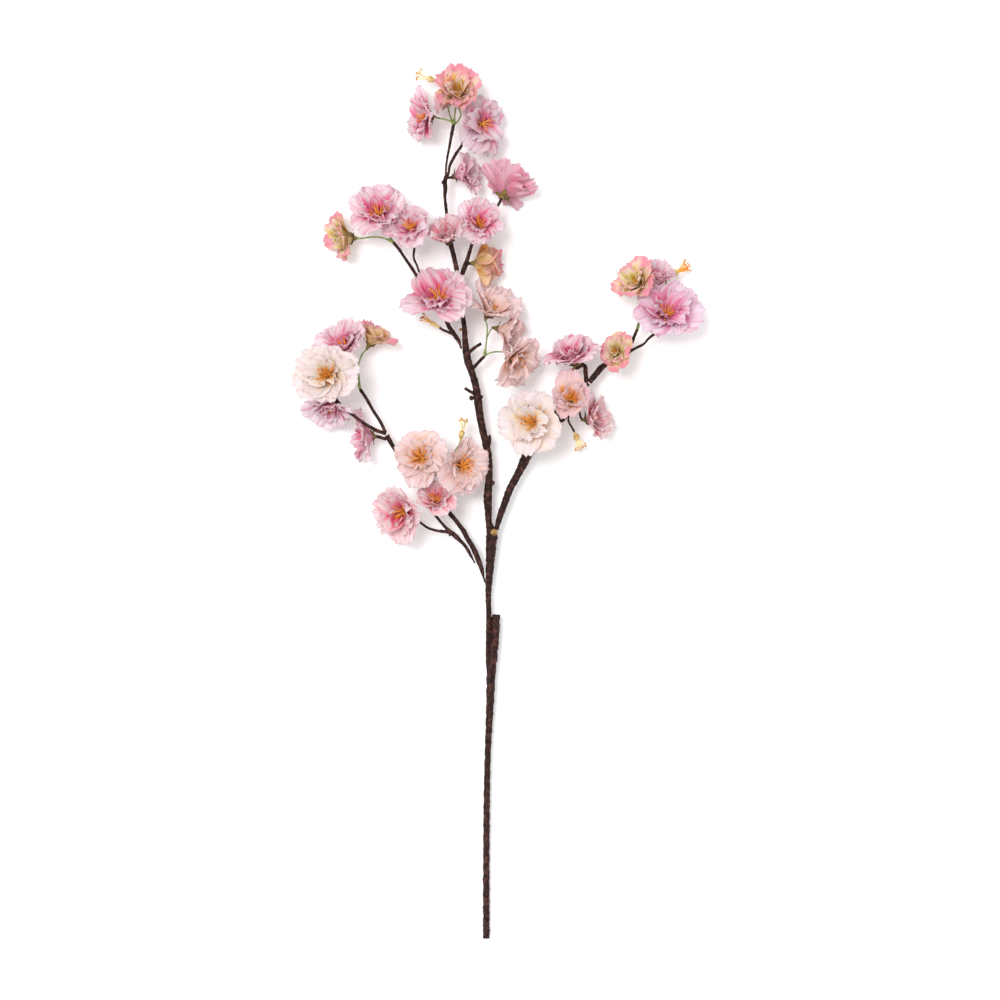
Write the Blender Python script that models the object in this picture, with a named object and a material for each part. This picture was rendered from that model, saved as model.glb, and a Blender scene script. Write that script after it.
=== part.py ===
"""Cherry blossom spray, laid on its back.

A long cut stem branches into twigs, and each twig ends in the calyx of a double blossom or in a
bare tuft of stamens. The spray lies on z = 0 with its cut end towards -Y and its top blossom
towards +Y. Every place below is in millimetres from the middle of the cut end: X across the spray,
Y up the stem and Z above the surface. At the end all of it is moved so that the origin is at the
middle of the spray's footprint, on the surface.
"""

import math
from collections import namedtuple

import bpy
import numpy as np
from mathutils import Vector

MM = 0.001

# Gap between two pieces that touch, and the radius of the calyx where it meets the petals.
GAP = 0.5
CALYX_RADIUS = 2.6

# Facets round a stem, round a thin stalk, and the radius that divides the two.
STEM_SIDES = 8
STALK_SIDES = 6
STALK_RADIUS = 2.0

# Edges sharper than this are shaded as edges.
SHARP_ANGLE = math.radians(50)

# A blossom has five broad outer petals, so its rim has five lobes.
PETALS = 5
FACETS_PER_PETAL = 4
LOBE_DEPTH = 0.16
LOBE_RISE = 0.05
INNER_PETALS = 0.16

# Radius of the petals' foot, and how far the rim's petals stand above each other.
FOOT_RADIUS = 1.2
RIM_HEIGHT = 1.2

# Petals lower than the surface are pressed up into this band above it.

# A route is a list of (x, y, z, radius) along the middle of a stem. It may end at a blossom's
# calyx or at the foot of a tuft, which its second field names.
Route = namedtuple("Route", "points ends_at", defaults=(None,))

# foot and tip are the two ends of a tuft, and spread is its radius at the tip.
Tuft = namedtuple("Tuft", "foot tip spread")

# calyx is where the petals meet, heading is the way that the blossom faces in plan (0 is +X, 90 is
# +Y), lift is how far it looks up from the surface, petal is the length of an outer petal, and cup
# is how far the petals close from flat. Angles are in degrees. flat below 1 is a blossom whose
# petals are spread along the surface, with that share of its height.
Blossom = namedtuple("Blossom", "calyx heading lift petal cup kind flat", defaults=(1.0,))

# Colour as linear RGB, then roughness. Nothing here is metal.
MATERIALS = {
    "bark": ((0.045, 0.018, 0.014), 0.62),
    "green_stalk": ((0.110, 0.150, 0.035), 0.50),
    "petal_pink": ((0.860, 0.330, 0.480), 0.70),
    "petal_pale": ((0.900, 0.640, 0.600), 0.70),
    "petal_olive": ((0.720, 0.520, 0.260), 0.70),
    "stamen": ((0.780, 0.330, 0.050), 0.45),
}

# Twigs whose outer stretch is green stalks take that colour.
GREEN_TWIGS = ("crown_top_twig", "middle_twig", "lower_left_stalks", "far_right_twig")

TWIGS = {
    "lower_stem": [
        Route(
            [(0, 0, 3.3, 3.2), (0, 66, 5.5, 3.1), (0.5, 134, 8, 3.1), (1.5, 180.5, 9.6, 3),
             (2.8, 209.5, 10.6, 3.4), (3.9, 233, 11.4, 3.9), (4.6, 254, 12.1, 4.3), (5.4, 264, 12.4, 4.5),
             (6.7, 275, 12.8, 4.3), (8.6, 293, 13.4, 4), (9.5, 314, 14, 4)],
        ),
    ],
    "main_stem": [
        Route(
            [(-0.9, 264, 12.6, 0.8), (0, 274.5, 12.9, 1.6), (1.1, 284, 13.2, 1.8), (2, 299, 13.6, 2.3),
             (2.5, 314.5, 14, 2.6), (2, 331, 14.5, 2.8), (2.5, 344.5, 15, 3.3), (3.5, 360, 15.5, 4),
             (4.5, 375.5, 16, 4.8), (5, 386, 16.4, 5.4), (5.5, 392, 16.5, 5.4), (4, 397, 16.7, 4.1),
             (2.5, 403.5, 16.8, 3.2), (2, 415, 17.1, 3.6), (1.5, 428, 17.5, 4.1),
             (2.5, 442.5, 18, 3.6), (3, 456, 18.3, 3.2), (2, 468.5, 18.6, 3.4), (-0.5, 480, 19, 3.4),
             (-4, 495.5, 19.4, 3.5), (-6.5, 509, 19.8, 3.7), (-8, 521, 20, 4),
             (-10, 534.5, 20.3, 3.5), (-13.5, 547, 20.6, 3.3), (-17.5, 558.5, 20.9, 3.7),
             (-19.5, 569.5, 21, 3.5), (-20.5, 580, 21.2, 2.8), (-21, 590, 21.4, 2.4),
             (-22.5, 602.5, 21.6, 2.2), (-24, 616, 21.8, 2.2), (-25.5, 627.5, 22, 2.2),
             (-26, 637, 22.2, 2.3)],
        ),
        Route(
            [(-17.5, 566.5, 21, 1.7), (-12, 571.5, 22.5, 1.6), (-5, 576, 24.5, 1.5)],
        ),
        Route(
            [(-10, 526.5, 20.2, 1.6), (-16, 530, 21.6, 1.5), (-20.5, 533, 23, 1.6)],
        ),
        Route(
            [(1.5, 474.5, 18.8, 1.6), (3.5, 482, 20.5, 1.5), (3, 487.5, 21.5, 1.4)],
        ),
    ],
    "right_branch": [
        Route(
            [(10.5, 399, 17.2, 2.4), (12, 405, 17.3, 2.9), (15, 414, 17.6, 3.2), (19, 425, 18, 3.4),
             (22.5, 434.5, 18.3, 3.6), (27.5, 444, 18.6, 3.7), (32.5, 453.5, 19, 3.9),
             (37, 463, 19.2, 4.7), (42, 472.5, 19.4, 4.8), (51, 486, 19.6, 4.3),
             (63.5, 502.5, 19.8, 3.5), (77.5, 519, 20, 2.9), (89, 530.5, 20.3, 2.7),
             (98.5, 538, 20.5, 2.8)],
        ),
    ],
    "right_outer_branch": [
        Route(
            [(101.5, 541, 20.8, 2.6), (106, 546.5, 21, 3), (112, 553.5, 21.2, 2.9),
             (121, 559, 21.2, 2.3), (133.5, 565.5, 21.2, 1.8), (146, 572.5, 21.5, 1.3),
             (152, 575.5, 21.8, 1.2), (157, 581, 22, 1.2), (162.5, 585.5, 22.5, 1.4)],
            "far_right_blossom_2",
        ),
        Route(
            [(121, 559, 21.2, 1.6)],
            "far_right_blossom_1",
        ),
    ],
    "right_upper_twig": [
        Route(
            [(96.5, 542, 20.8, 2.1), (96, 548, 21, 2.2), (95.5, 554, 21, 2)],
            "right_blossom_4",
        ),
    ],
    "right_inner_twig": [
        Route(
            [(79, 512.5, 20.5, 1.4), (77, 505.5, 22.5, 1.5), (72.5, 501, 25, 1.5),
             (69, 505.5, 27, 1.6), (65.5, 510.5, 28.5, 1.5)],
            "right_blossom_1",
        ),
    ],
    "right_outer_stalks": [
        Route(
            [(90, 523, 20.4, 1.5), (88, 517, 20.4, 1.4), (83, 513, 21, 1.2)],
            "right_blossom_2",
        ),
        Route(
            [(88, 517, 20.4, 1.2), (90, 510.5, 20, 1.1)],
            "right_blossom_3",
        ),
        Route(
            [(83, 513, 21, 1.1), (80, 506.5, 20, 1)],
            "right_tuft",
        ),
    ],
    "far_right_twig": [
        Route(
            [(140, 574, 21.6, 1.7), (143, 583, 22.5, 1.6), (146, 590, 22.5, 1.5), (149, 603.5, 22, 1),
             (149.5, 614, 21.6, 0.9)],
            "far_right_blossom_3",
        ),
        Route(
            [(149, 603.5, 22, 0.9), (156, 616, 21, 0.8)],
            "far_right_blossom_4",
        ),
        Route(
            [(149, 603.5, 22, 0.9), (160.5, 615, 19, 0.8), (171.5, 627.5, 17.5, 0.8)],
            "far_right_tuft",
        ),
    ],
    "left_branch": [
        Route(
            [(-2, 348, 15.3, 0.9), (-4, 356, 15.6, 1.9), (-6.5, 364, 16, 2.5), (-8.5, 369, 16.2, 2.6),
             (-12.5, 378.5, 16.6, 2.6), (-17.5, 386.5, 17, 2.3), (-21.5, 394, 17.3, 2.4),
             (-27, 402, 17.7, 2.1), (-34, 410.5, 18, 2.2), (-44, 422.5, 18.4, 2.2),
             (-53.5, 433, 18.7, 1.9), (-65, 443.5, 19, 1.7), (-75.5, 452.5, 19.4, 1.6),
             (-81.5, 461, 19.8, 1.6), (-86.5, 471.5, 20.2, 2), (-91.5, 479, 20.5, 2.1),
             (-96, 487.5, 20.8, 2.4)],
        ),
    ],
    "left_fork_twig": [
        Route(
            [(-12.5, 366.5, 16.2, 0.8), (-15, 371, 16.4, 1.4), (-17.5, 376, 16.6, 1.6),
             (-21, 381, 16.9, 1.6), (-25, 385.5, 17.2, 1.8), (-30, 390, 17.5, 2.5),
             (-34.5, 394, 17.8, 2.1), (-39, 398, 18, 1.6), (-45, 405, 18.3, 1.4),
             (-50, 411.5, 18.6, 1.3)],
            "lower_left_blossom_4",
        ),
        Route(
            [(-34.5, 394, 17.8, 1.9), (-42, 394.5, 18, 1.6), (-49, 395.5, 18.2, 1.3),
             (-56.5, 398, 18.4, 1.2), (-63.5, 403, 18.6, 1.1), (-69, 407.5, 18.8, 1.1)],
            "lower_left_blossom_3",
        ),
    ],
    "left_inner_twig": [
        Route(
            [(-98.5, 492.5, 21, 1.6), (-102, 500, 21, 1.6), (-108.5, 510, 21, 1.5),
             (-116.5, 524, 21, 1.6), (-122, 532, 20.8, 1.6), (-124.5, 543, 20, 0.9),
             (-129.5, 555, 20, 0.8)],
            "left_blossom_3",
        ),
        Route(
            [(-122, 532, 20.8, 1.2), (-123, 544, 19.5, 0.8), (-123.5, 555, 19, 0.8),
             (-121, 563.5, 19, 0.8)],
            "left_blossom_4",
        ),
    ],
    "left_outer_twig": [
        Route(
            [(-100, 490, 22.5, 1.8), (-105.5, 492, 27, 1.8), (-112.5, 495.5, 32, 1.7),
             (-122.5, 502, 34, 1.6), (-132, 510, 32, 1.6), (-140, 516, 29, 1.6),
             (-145, 522.5, 27, 1.3)],
            "left_blossom_1",
        ),
        Route(
            [(-140, 516, 29, 1.4)],
            "left_blossom_2",
        ),
    ],
    "left_side_stalk": [
        Route(
            [(-99.5, 484.5, 20.4, 1.6)],
            "left_blossom_5",
        ),
    ],
    "lower_left_stalks": [
        Route(
            [(-54.5, 437, 20.8, 1.3), (-53.5, 442.5, 20.5, 1.3), (-52.5, 446.5, 20.2, 1.2),
             (-55.5, 453, 19.6, 0.9), (-59.5, 458, 19.5, 0.9)],
            "lower_left_blossom_1",
        ),
        Route(
            [(-52.5, 446.5, 20.2, 1), (-47, 450, 18.8, 0.8), (-39, 453.5, 18.2, 0.8)],
            "lower_left_blossom_2",
        ),
        Route(
            [(-52.5, 446.5, 20.2, 1), (-50, 451.5, 19, 0.8), (-44.5, 457, 18, 0.8),
             (-37, 462.5, 18.5, 1.3), (-33.5, 466.5, 19.5, 1.2), (-29, 474, 21.5, 0.8)],
            "lower_left_tuft",
        ),
    ],
    "upper_left_branch": [
        Route(
            [(-25, 574, 21.3, 1), (-26.5, 578.5, 21.4, 1.9), (-30.5, 584.5, 21.6, 2.1),
             (-35, 591, 21.8, 2.2), (-39, 599, 22, 1.9), (-43.5, 607, 22, 1.8), (-49, 616, 22, 1.7),
             (-56.5, 628, 22, 1.7), (-63.5, 638, 22, 1.8)],
        ),
        Route(
            [(-27.5, 581, 21.4, 1.5), (-32.5, 585, 21.2, 1.3), (-37.5, 587.5, 21, 1.3),
             (-42, 589.5, 21, 1.2)],
            "upper_left_tuft",
        ),
        Route(
            [(-45, 609.5, 22, 1.4)],
            "upper_left_blossom_5",
        ),
    ],
    "upper_left_twig": [
        Route(
            [(-67, 641, 22, 1.6), (-70, 646, 22, 1.6), (-75, 653.5, 22, 1.5),
             (-80.5, 661.5, 21.8, 1.4), (-84, 667, 21.6, 1.5), (-90, 674, 21, 1.5),
             (-96, 677, 20, 0.9), (-103.5, 679, 19, 0.8), (-113.5, 679, 18.8, 0.8),
             (-119.5, 678, 19.4, 0.9)],
            "upper_left_blossom_2",
        ),
        Route(
            [(-90, 674, 21, 1.2), (-93.5, 680, 20.5, 0.9), (-97.5, 686, 21, 0.8)],
            "upper_left_blossom_1",
        ),
    ],
    "upper_left_short_twig": [
        Route(
            [(-64.5, 644.5, 22.6, 1.1), (-67, 651.5, 22.8, 1), (-70, 659, 22.8, 1.1),
             (-69.5, 667.5, 22.6, 1.2), (-68, 674, 22.8, 1.2)],
            "upper_left_blossom_3",
        ),
    ],
    "crown_left_twig": [
        Route(
            [(-28.5, 641, 22.4, 1.6), (-29, 649.5, 22.2, 2.3), (-31, 659, 21, 2.3),
             (-33, 667, 19.5, 2.3), (-35, 680, 18, 1.7), (-37.5, 695.5, 18.5, 1.6),
             (-39, 708, 20.5, 1.5), (-40, 719.5, 22, 1.6), (-39.5, 725.5, 22.6, 2.1),
             (-40, 731.5, 23, 2), (-39, 736.5, 23.2, 2.1), (-36.5, 741, 23.4, 1.4),
             (-35.5, 747, 23.5, 1.3), (-32, 754.5, 23.6, 1.5), (-28.5, 760.5, 23.6, 1.4),
             (-24.5, 766, 23.2, 1.4), (-21, 775, 22.4, 1.2)],
            "top_blossom_4",
        ),
        Route(
            [(-31.5, 661.5, 20.6, 1.8)],
            "upper_left_blossom_4",
        ),
        Route(
            [(-39, 736, 23.2, 1.5), (-35.5, 736.5, 23.2, 1.3)],
            "top_blossom_5",
        ),
    ],
    "crown_top_twig": [
        Route(
            [(-39, 742.5, 23, 1), (-38.5, 750, 23, 1), (-36.5, 761.5, 23, 1.2), (-34.5, 772, 23, 1.4),
             (-33, 780.5, 23, 1.6), (-31.5, 787.5, 23, 1.6), (-30.5, 796.5, 22.6, 0.8)],
            "top_blossom_1",
        ),
        Route(
            [(-31.5, 787.5, 23, 1.2), (-27.5, 791, 22.2, 0.8), (-24.5, 797.5, 21.6, 0.8),
             (-26, 802.5, 21.6, 0.8)],
            "top_blossom_2",
        ),
        Route(
            [(-31.5, 787.5, 23, 1.2), (-34, 790.5, 22.6, 0.9), (-39, 792.5, 22.4, 0.9),
             (-46.5, 794, 22.4, 0.9)],
            "top_blossom_3",
        ),
        Route(
            [(-31.5, 787.5, 23, 1.2), (-35, 796.5, 18.5, 0.8), (-38.5, 811, 16, 0.8),
             (-42, 821.5, 16.5, 0.8)],
            "top_tuft",
        ),
    ],
    "crown_right_twig": [
        Route(
            [(-24, 641, 22.4, 1.8), (-22, 646.5, 22.6, 2.5), (-19, 655, 22.8, 2.2),
             (-16, 665, 23.2, 1.7), (-13, 674, 23.6, 1.6), (-9, 681.5, 23.8, 1.5),
             (-1.5, 694, 23.6, 1.3), (5.5, 702.5, 26, 1.3), (11.5, 709.5, 32, 1.4)],
            "upper_right_blossom_1",
        ),
        Route(
            [(-13.5, 672.5, 23.5, 1.2)],
            "upper_right_blossom_2",
        ),
        Route(
            [(-20, 652.5, 22.7, 1.6)],
            "upper_right_blossom_3",
        ),
    ],
    "middle_twig": [
        Route(
            [(-11, 554, 22, 1.7), (-7, 558.5, 22.6, 1.5), (-4.5, 561, 23, 1.6),
             (-1.5, 564, 23.4, 1.4), (-0.5, 572, 24, 0.8), (0.5, 581.5, 24.4, 0.8),
             (1, 591.5, 24.4, 0.7)],
            "middle_blossom_1",
        ),
        Route(
            [(0.5, 581.5, 24.4, 0.7), (3, 587, 24, 0.7)],
            "middle_blossom_2",
        ),
        Route(
            [(-1.5, 564, 23.4, 1), (1.5, 566, 24, 0.8), (8, 568, 24.4, 0.8), (14.5, 568, 24.6, 0.8)],
            "middle_blossom_3",
        ),
    ],
}

TUFTS = {
    "top_tuft": Tuft((-46.5, 829, 19), (-66.5, 836.5, 22), 3.9),
    "upper_left_tuft": Tuft((-45, 591.5, 20.6), (-62.5, 602, 20), 2.4),
    "lower_left_tuft": Tuft((-25, 481.5, 24), (-21.5, 502.5, 28), 3.4),
    "right_tuft": Tuft((85, 491, 19), (91.5, 475.5, 15), 3.9),
    "far_right_tuft": Tuft((176.5, 640.5, 17.5), (194.5, 652, 17), 4.4),
}

BLOSSOMS = {
    "top_blossom_1": Blossom((-28.5, 812, 27), 86, 52, 34, 46, "olive"),
    "top_blossom_2": Blossom((-34, 809, 24), 176, 20, 21, 42, "pale"),
    "top_blossom_3": Blossom((-53.5, 795.5, 19.5), 184, 26, 28, 28, "pink"),
    "top_blossom_4": Blossom((-6, 788, 24), 10, 60, 28, 14, "pink"),
    "top_blossom_5": Blossom((-30.5, 737.5, 20), 13, 24, 26, 40, "pink"),
    "upper_right_blossom_1": Blossom((16, 718, 27), 58, -34, 33, 30, "pink"),
    "upper_right_blossom_2": Blossom((-7, 687.5, 39), 80, 59, 27, 25, "pink"),
    "upper_right_blossom_3": Blossom((-12, 654, 17), 4, 8, 26, 62, "olive"),
    "upper_left_blossom_1": Blossom((-103, 697.5, 30), 104, 56, 33, 28, "pink"),
    "upper_left_blossom_2": Blossom((-128.5, 678, 17.5), 182, 24, 29, 34, "olive"),
    "upper_left_blossom_3": Blossom((-70.5, 685, 32), 120, 56, 30, 26, "pale"),
    "upper_left_blossom_4": Blossom((-36, 674, 30), 108, 46, 27, 46, "pale"),
    "upper_left_blossom_5": Blossom((-45, 615, 32), 100, 50, 37, 22, "pink"),
    "middle_blossom_1": Blossom((1, 602.5, 26), 58, 30, 33, 34, "pale"),
    "middle_blossom_2": Blossom((10.5, 590.5, 25), -14, 12, 31, 46, "pale"),
    "middle_blossom_3": Blossom((24, 564, 34), -37, 42, 33, 32, "pale"),
    "left_blossom_1": Blossom((-151, 544.5, 44), 145, 73, 35, 26, "pale"),
    "left_blossom_2": Blossom((-150.5, 520, 20), -97, 36, 28, 36, "pink"),
    "left_blossom_3": Blossom((-132.5, 569, 26), 124, 42, 31, 36, "pale"),
    "left_blossom_4": Blossom((-113.5, 574.5, 19), 61, 15, 26, 43, "olive"),
    "left_blossom_5": Blossom((-109, 486, 18), 184, 10, 28, 26, "pink", 0.5),
    "lower_left_blossom_1": Blossom((-62.5, 465, 32), 108, 78, 32, 20, "pale"),
    "lower_left_blossom_2": Blossom((-26.5, 458, 29), -12, 62, 33, 24, "pale"),
    "lower_left_blossom_3": Blossom((-78, 415, 31), 200, 60, 31, 26, "pink"),
    "lower_left_blossom_4": Blossom((-49, 422, 31), 90, 58, 24, 32, "pink"),
    "right_blossom_1": Blossom((46, 499, 42), 174, 73, 34, 25, "pale"),
    "right_blossom_2": Blossom((82, 520, 34), 100, 66, 27, 32, "pale"),
    "right_blossom_3": Blossom((96.5, 502.5, 22), 6, 28, 25, 36, "pink"),
    "right_blossom_4": Blossom((85, 556, 31), 102, 30, 31, 36, "pink"),
    "far_right_blossom_1": Blossom((128.5, 565.5, 32), 150, 60, 23, 38, "olive"),
    "far_right_blossom_2": Blossom((173, 600.5, 31), 79, 57, 36, 24, "pink"),
    "far_right_blossom_3": Blossom((148.5, 629, 30), 131, 42, 27, 34, "olive"),
    "far_right_blossom_4": Blossom((164.5, 631.5, 17), 82, 26, 25, 46, "pink"),
}


def make_material(name):
    """One Principled material for each kind of surface."""
    colour, roughness = MATERIALS[name]
    material = bpy.data.materials.new(name)
    material.use_nodes = True
    shader = material.node_tree.nodes["Principled BSDF"]
    shader.inputs["Base Color"].default_value = (*colour, 1)
    shader.inputs["Roughness"].default_value = roughness
    shader.inputs["Metallic"].default_value = 0
    material.diffuse_color = (*colour, 1)
    return material


def facing(blossom):
    """Unit vectors across, down and out of a blossom."""
    heading, lift = math.radians(blossom.heading), math.radians(blossom.lift)
    plan = Vector((math.cos(heading), math.sin(heading), 0))
    out = plan * math.cos(lift) + Vector((0, 0, math.sin(lift)))
    across = Vector((plan.y, -plan.x, 0))
    return np.array(across), np.array(out.cross(across)), np.array(out)


def tube_rings(points, sides):
    """Rings square to the path, each turned as little as it can be from the one before."""
    path = points[:, :3]
    ahead = np.gradient(path, axis=0)
    ahead /= np.linalg.norm(ahead, axis=1)[:, None]
    across = np.cross(ahead[0], (0, 0, 1))
    turn = np.arange(sides) * 2 * math.pi / sides
    rings = []
    for centre, way, radius in zip(path, ahead, points[:, 3]):
        across = across - way * (across @ way)
        across /= np.linalg.norm(across)
        beside = np.cross(way, across)
        rings.append(centre + radius * (np.cos(turn)[:, None] * across + np.sin(turn)[:, None] * beside))
    return rings


def add_solid(name, rings, poles=None):
    """Closed mesh through rings of points. Poles close it to a point, and without them each end is
    one flat face."""
    sides = len(rings[0])
    points = np.vstack(rings if poles is None else [*rings, *poles])
    ahead = [(side + 1) % sides for side in range(sides)]
    faces = []
    for ring in range(len(rings) - 1):
        low, high = ring * sides, (ring + 1) * sides
        faces += [(low + a, low + b, high + b, high + a) for a, b in enumerate(ahead)]
    top = (len(rings) - 1) * sides
    if poles is None:
        faces += [tuple(range(sides))[::-1], tuple(range(top, top + sides))]
    else:
        first, last = len(points) - 2, len(points) - 1
        faces += [(first, b, a) for a, b in enumerate(ahead)]
        faces += [(last, top + a, top + b) for a, b in enumerate(ahead)]
    mesh = bpy.data.meshes.new(name)
    mesh.from_pydata((points * MM).tolist(), [], faces)
    mesh.shade_smooth()
    mesh.set_sharp_from_angle(angle=SHARP_ANGLE)
    solid = bpy.data.objects.new(name, mesh)
    bpy.context.scene.collection.objects.link(solid)
    return solid


def join(name, pieces):
    """One closed solid from pieces that overlap where they branch."""
    whole = pieces[0]
    for piece in pieces[1:]:
        union = whole.modifiers.new("union", "BOOLEAN")
        union.operation = "UNION"
        union.object = piece
    graph = bpy.context.evaluated_depsgraph_get()
    mesh = bpy.data.meshes.new_from_object(whole.evaluated_get(graph))
    for piece in pieces:
        bpy.data.objects.remove(piece)
    solid = bpy.data.objects.new(name, mesh)
    bpy.context.scene.collection.objects.link(solid)
    return solid


def bend_to(start, ahead, goal, arrive, radius, swell):
    """Points of one curve that leaves start along ahead and reaches goal along arrive."""
    pull = 0.4 * np.linalg.norm(goal - start)
    first, second = start + pull * ahead, goal - pull * arrive
    points = []
    for t in (0.25, 0.5, 0.75, 1.0):
        s = 1 - t
        place = s**3 * start + 3 * s * s * t * first + 3 * s * t * t * second + t**3 * goal
        points.append((*place, radius + (swell - radius) * t**4))
    return points


def end_of(route):
    """The last points of a route, where it swells into a calyx or meets the foot of a tuft."""
    if route.ends_at is None:
        return []
    points = np.array(route.points, float)
    start, radius = points[-1, :3], points[-1, 3]
    if route.ends_at in TUFTS:
        tuft = TUFTS[route.ends_at]
        goal, out, swell = np.array(tuft.foot), np.subtract(tuft.tip, tuft.foot), radius
        out = out / np.linalg.norm(out)
    else:
        blossom = BLOSSOMS[route.ends_at]
        goal, out, swell = np.array(blossom.calyx), facing(blossom)[2], CALYX_RADIUS
    ahead = goal - start if len(points) == 1 else start - points[-2, :3]
    ahead = ahead / np.linalg.norm(ahead)
    return bend_to(start, ahead, goal - GAP * out, out, radius, swell)


def make_twig(name):
    """A stem or twig with all its side routes as one solid."""
    pieces = []
    for route in TWIGS[name]:
        points = np.array(list(route.points) + end_of(route), float)
        sides = STEM_SIDES if points[:, 3].max() > 2 * STALK_RADIUS else STALK_SIDES
        pieces.append(add_solid(name, tube_rings(points, sides)))
    return pieces[0] if len(pieces) == 1 else join(name, pieces)


def press(points, calyx_height):
    """Petals that would reach below the surface are pressed up, between it and their calyx."""
    low = points[:, 2].min()
    if low < 0:
        below = points[:, 2] < calyx_height
        points[below, 2] = (points[below, 2] - low) * calyx_height / (calyx_height - low)
    return points


def make_blossom(name):
    """A double blossom as one cup: outer petals below, the crown of inner petals on top."""
    blossom = BLOSSOMS[name]
    across, down, out = facing(blossom)
    reach = blossom.petal * math.cos(math.radians(blossom.cup))
    rise = blossom.petal * math.sin(math.radians(blossom.cup))
    crown = INNER_PETALS * blossom.petal
    # Each ring is its radius, its height above the calyx, and how much of the lobes it has.
    outline = (
        (0.10 * reach + FOOT_RADIUS, 0.10 * rise, 0.0),
        (0.52 * reach, 0.62 * rise, 0.4),
        (reach, rise, 1.0),
        (0.93 * reach, rise + RIM_HEIGHT, 0.95),
        (0.50 * reach, 0.62 * rise + crown, 0.3),
    )
    turn = np.arange(PETALS * FACETS_PER_PETAL) * 2 * math.pi / (PETALS * FACETS_PER_PETAL)
    lobes = np.cos(PETALS * turn)
    rings = []
    for radius, height, share in outline:
        radii = radius * (1 - share * LOBE_DEPTH * (1 - lobes) / 2)
        heights = height + share * LOBE_RISE * blossom.petal * lobes
        plan = np.cos(turn)[:, None] * across + np.sin(turn)[:, None] * down
        rings.append(np.array(blossom.calyx) + radii[:, None] * plan + heights[:, None] * out)
    foot = np.array(blossom.calyx)
    heart = foot + (0.35 * rise + 1.1 * crown) * out
    points = np.vstack([*rings, foot, heart])
    points[:, 2] = foot[2] + blossom.flat * (points[:, 2] - foot[2])
    points = press(points, foot[2])
    rings = np.split(points[:-2], len(outline))
    return add_solid(name, rings, points[-2:, None])


def make_tuft(name):
    """A bundle of stamens as one solid that widens from its foot to its tip."""
    tuft = TUFTS[name]
    foot, tip = np.array(tuft.foot), np.array(tuft.tip)
    shares = ((0, 1.0), (0.3, 1.5), (0.6, 0.6 * tuft.spread + 0.8), (1, tuft.spread))
    points = np.array([(*(foot + share * (tip - foot)), radius) for share, radius in shares])
    return add_solid(name, tube_rings(points, STALK_SIDES))


def centre_on_origin(solids):
    """Puts the origin at the middle of the footprint, on the surface."""
    points = [np.array([vertex.co for vertex in solid.data.vertices]) for solid in solids]
    low, high = np.vstack(points).min(axis=0), np.vstack(points).max(axis=0)
    shift = Vector((-(low[0] + high[0]) / 2, -(low[1] + high[1]) / 2, -low[2]))
    for solid in solids:
        solid.location = shift


def main():
    for thing in list(bpy.data.objects):
        bpy.data.objects.remove(thing)
    materials = {name: make_material(name) for name in MATERIALS}
    solids = []
    for name in TWIGS:
        solid = make_twig(name)
        solid.data.materials.append(materials["green_stalk" if name in GREEN_TWIGS else "bark"])
        solids.append(solid)
    for name, blossom in BLOSSOMS.items():
        solid = make_blossom(name)
        solid.data.materials.append(materials["petal_" + blossom.kind])
        solids.append(solid)
    for name in TUFTS:
        solid = make_tuft(name)
        solid.data.materials.append(materials["stamen"])
        solids.append(solid)
    centre_on_origin(solids)


main()
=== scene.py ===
import math

import bpy
import numpy as np
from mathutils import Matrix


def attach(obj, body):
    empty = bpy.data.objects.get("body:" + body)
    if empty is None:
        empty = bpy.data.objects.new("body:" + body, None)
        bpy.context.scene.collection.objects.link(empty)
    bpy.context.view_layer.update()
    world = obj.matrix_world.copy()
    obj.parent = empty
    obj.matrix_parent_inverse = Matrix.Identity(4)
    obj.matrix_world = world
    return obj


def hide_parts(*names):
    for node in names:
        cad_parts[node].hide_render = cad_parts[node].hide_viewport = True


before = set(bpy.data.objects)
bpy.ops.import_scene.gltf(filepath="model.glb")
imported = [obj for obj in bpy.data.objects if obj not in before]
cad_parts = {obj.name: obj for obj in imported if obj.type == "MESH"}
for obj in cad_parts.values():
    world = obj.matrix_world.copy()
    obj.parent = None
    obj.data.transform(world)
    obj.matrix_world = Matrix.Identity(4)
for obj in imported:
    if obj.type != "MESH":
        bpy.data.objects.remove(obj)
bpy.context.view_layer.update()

# A spray of double cherry blossom, laid on its back on a pale table and seen from straight above.
# Places are in millimetres from the middle of the cut end: x across, y up the stem, z off the table.

mm = 0.001
fullTurn = 2 * math.pi
random = np.random.default_rng(47)

studio = {
    "frameWidth": 0.97, "cameraHeight": 6.0, "sensor": 36.0,
    "centre": (13.3, 424.9),          # of the frame, millimetres from the cut end
    "floor": 6.0, "floorColour": "#FBFBFB",
    "skyStrength": 1.0, "sunStrength": 1.8, "sunAngle": 22.0, "sunTilt": (15.0, -11.0),
}

bark = {
    "step": 1.6, "sides": 16, "lumps": 0.055, "scarEvery": 27.0, "scarHeight": 0.42, "scarLength": 1.1,
    "thick": 1.9,                     # leaf scars start at 0.7 of this radius
    "plug": 3.0,                      # how far a twig goes into its socket
    "bow": 0.45,                      # radians per millimetre of the wave that swings the tube sideways
    # knobs are waves over the skin: height, radians per millimetre along, how many round
    "knobs": ((0.8, 1.1, 2), (0.6, 2.1, -3), (0.5, 3.3, 0)),
}

stalk = {
    "step": 1.4, "sides": 10, "ferruleLength": 7.0, "ferruleRadius": 1.7, "intoCalyx": 2.4,
}

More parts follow.
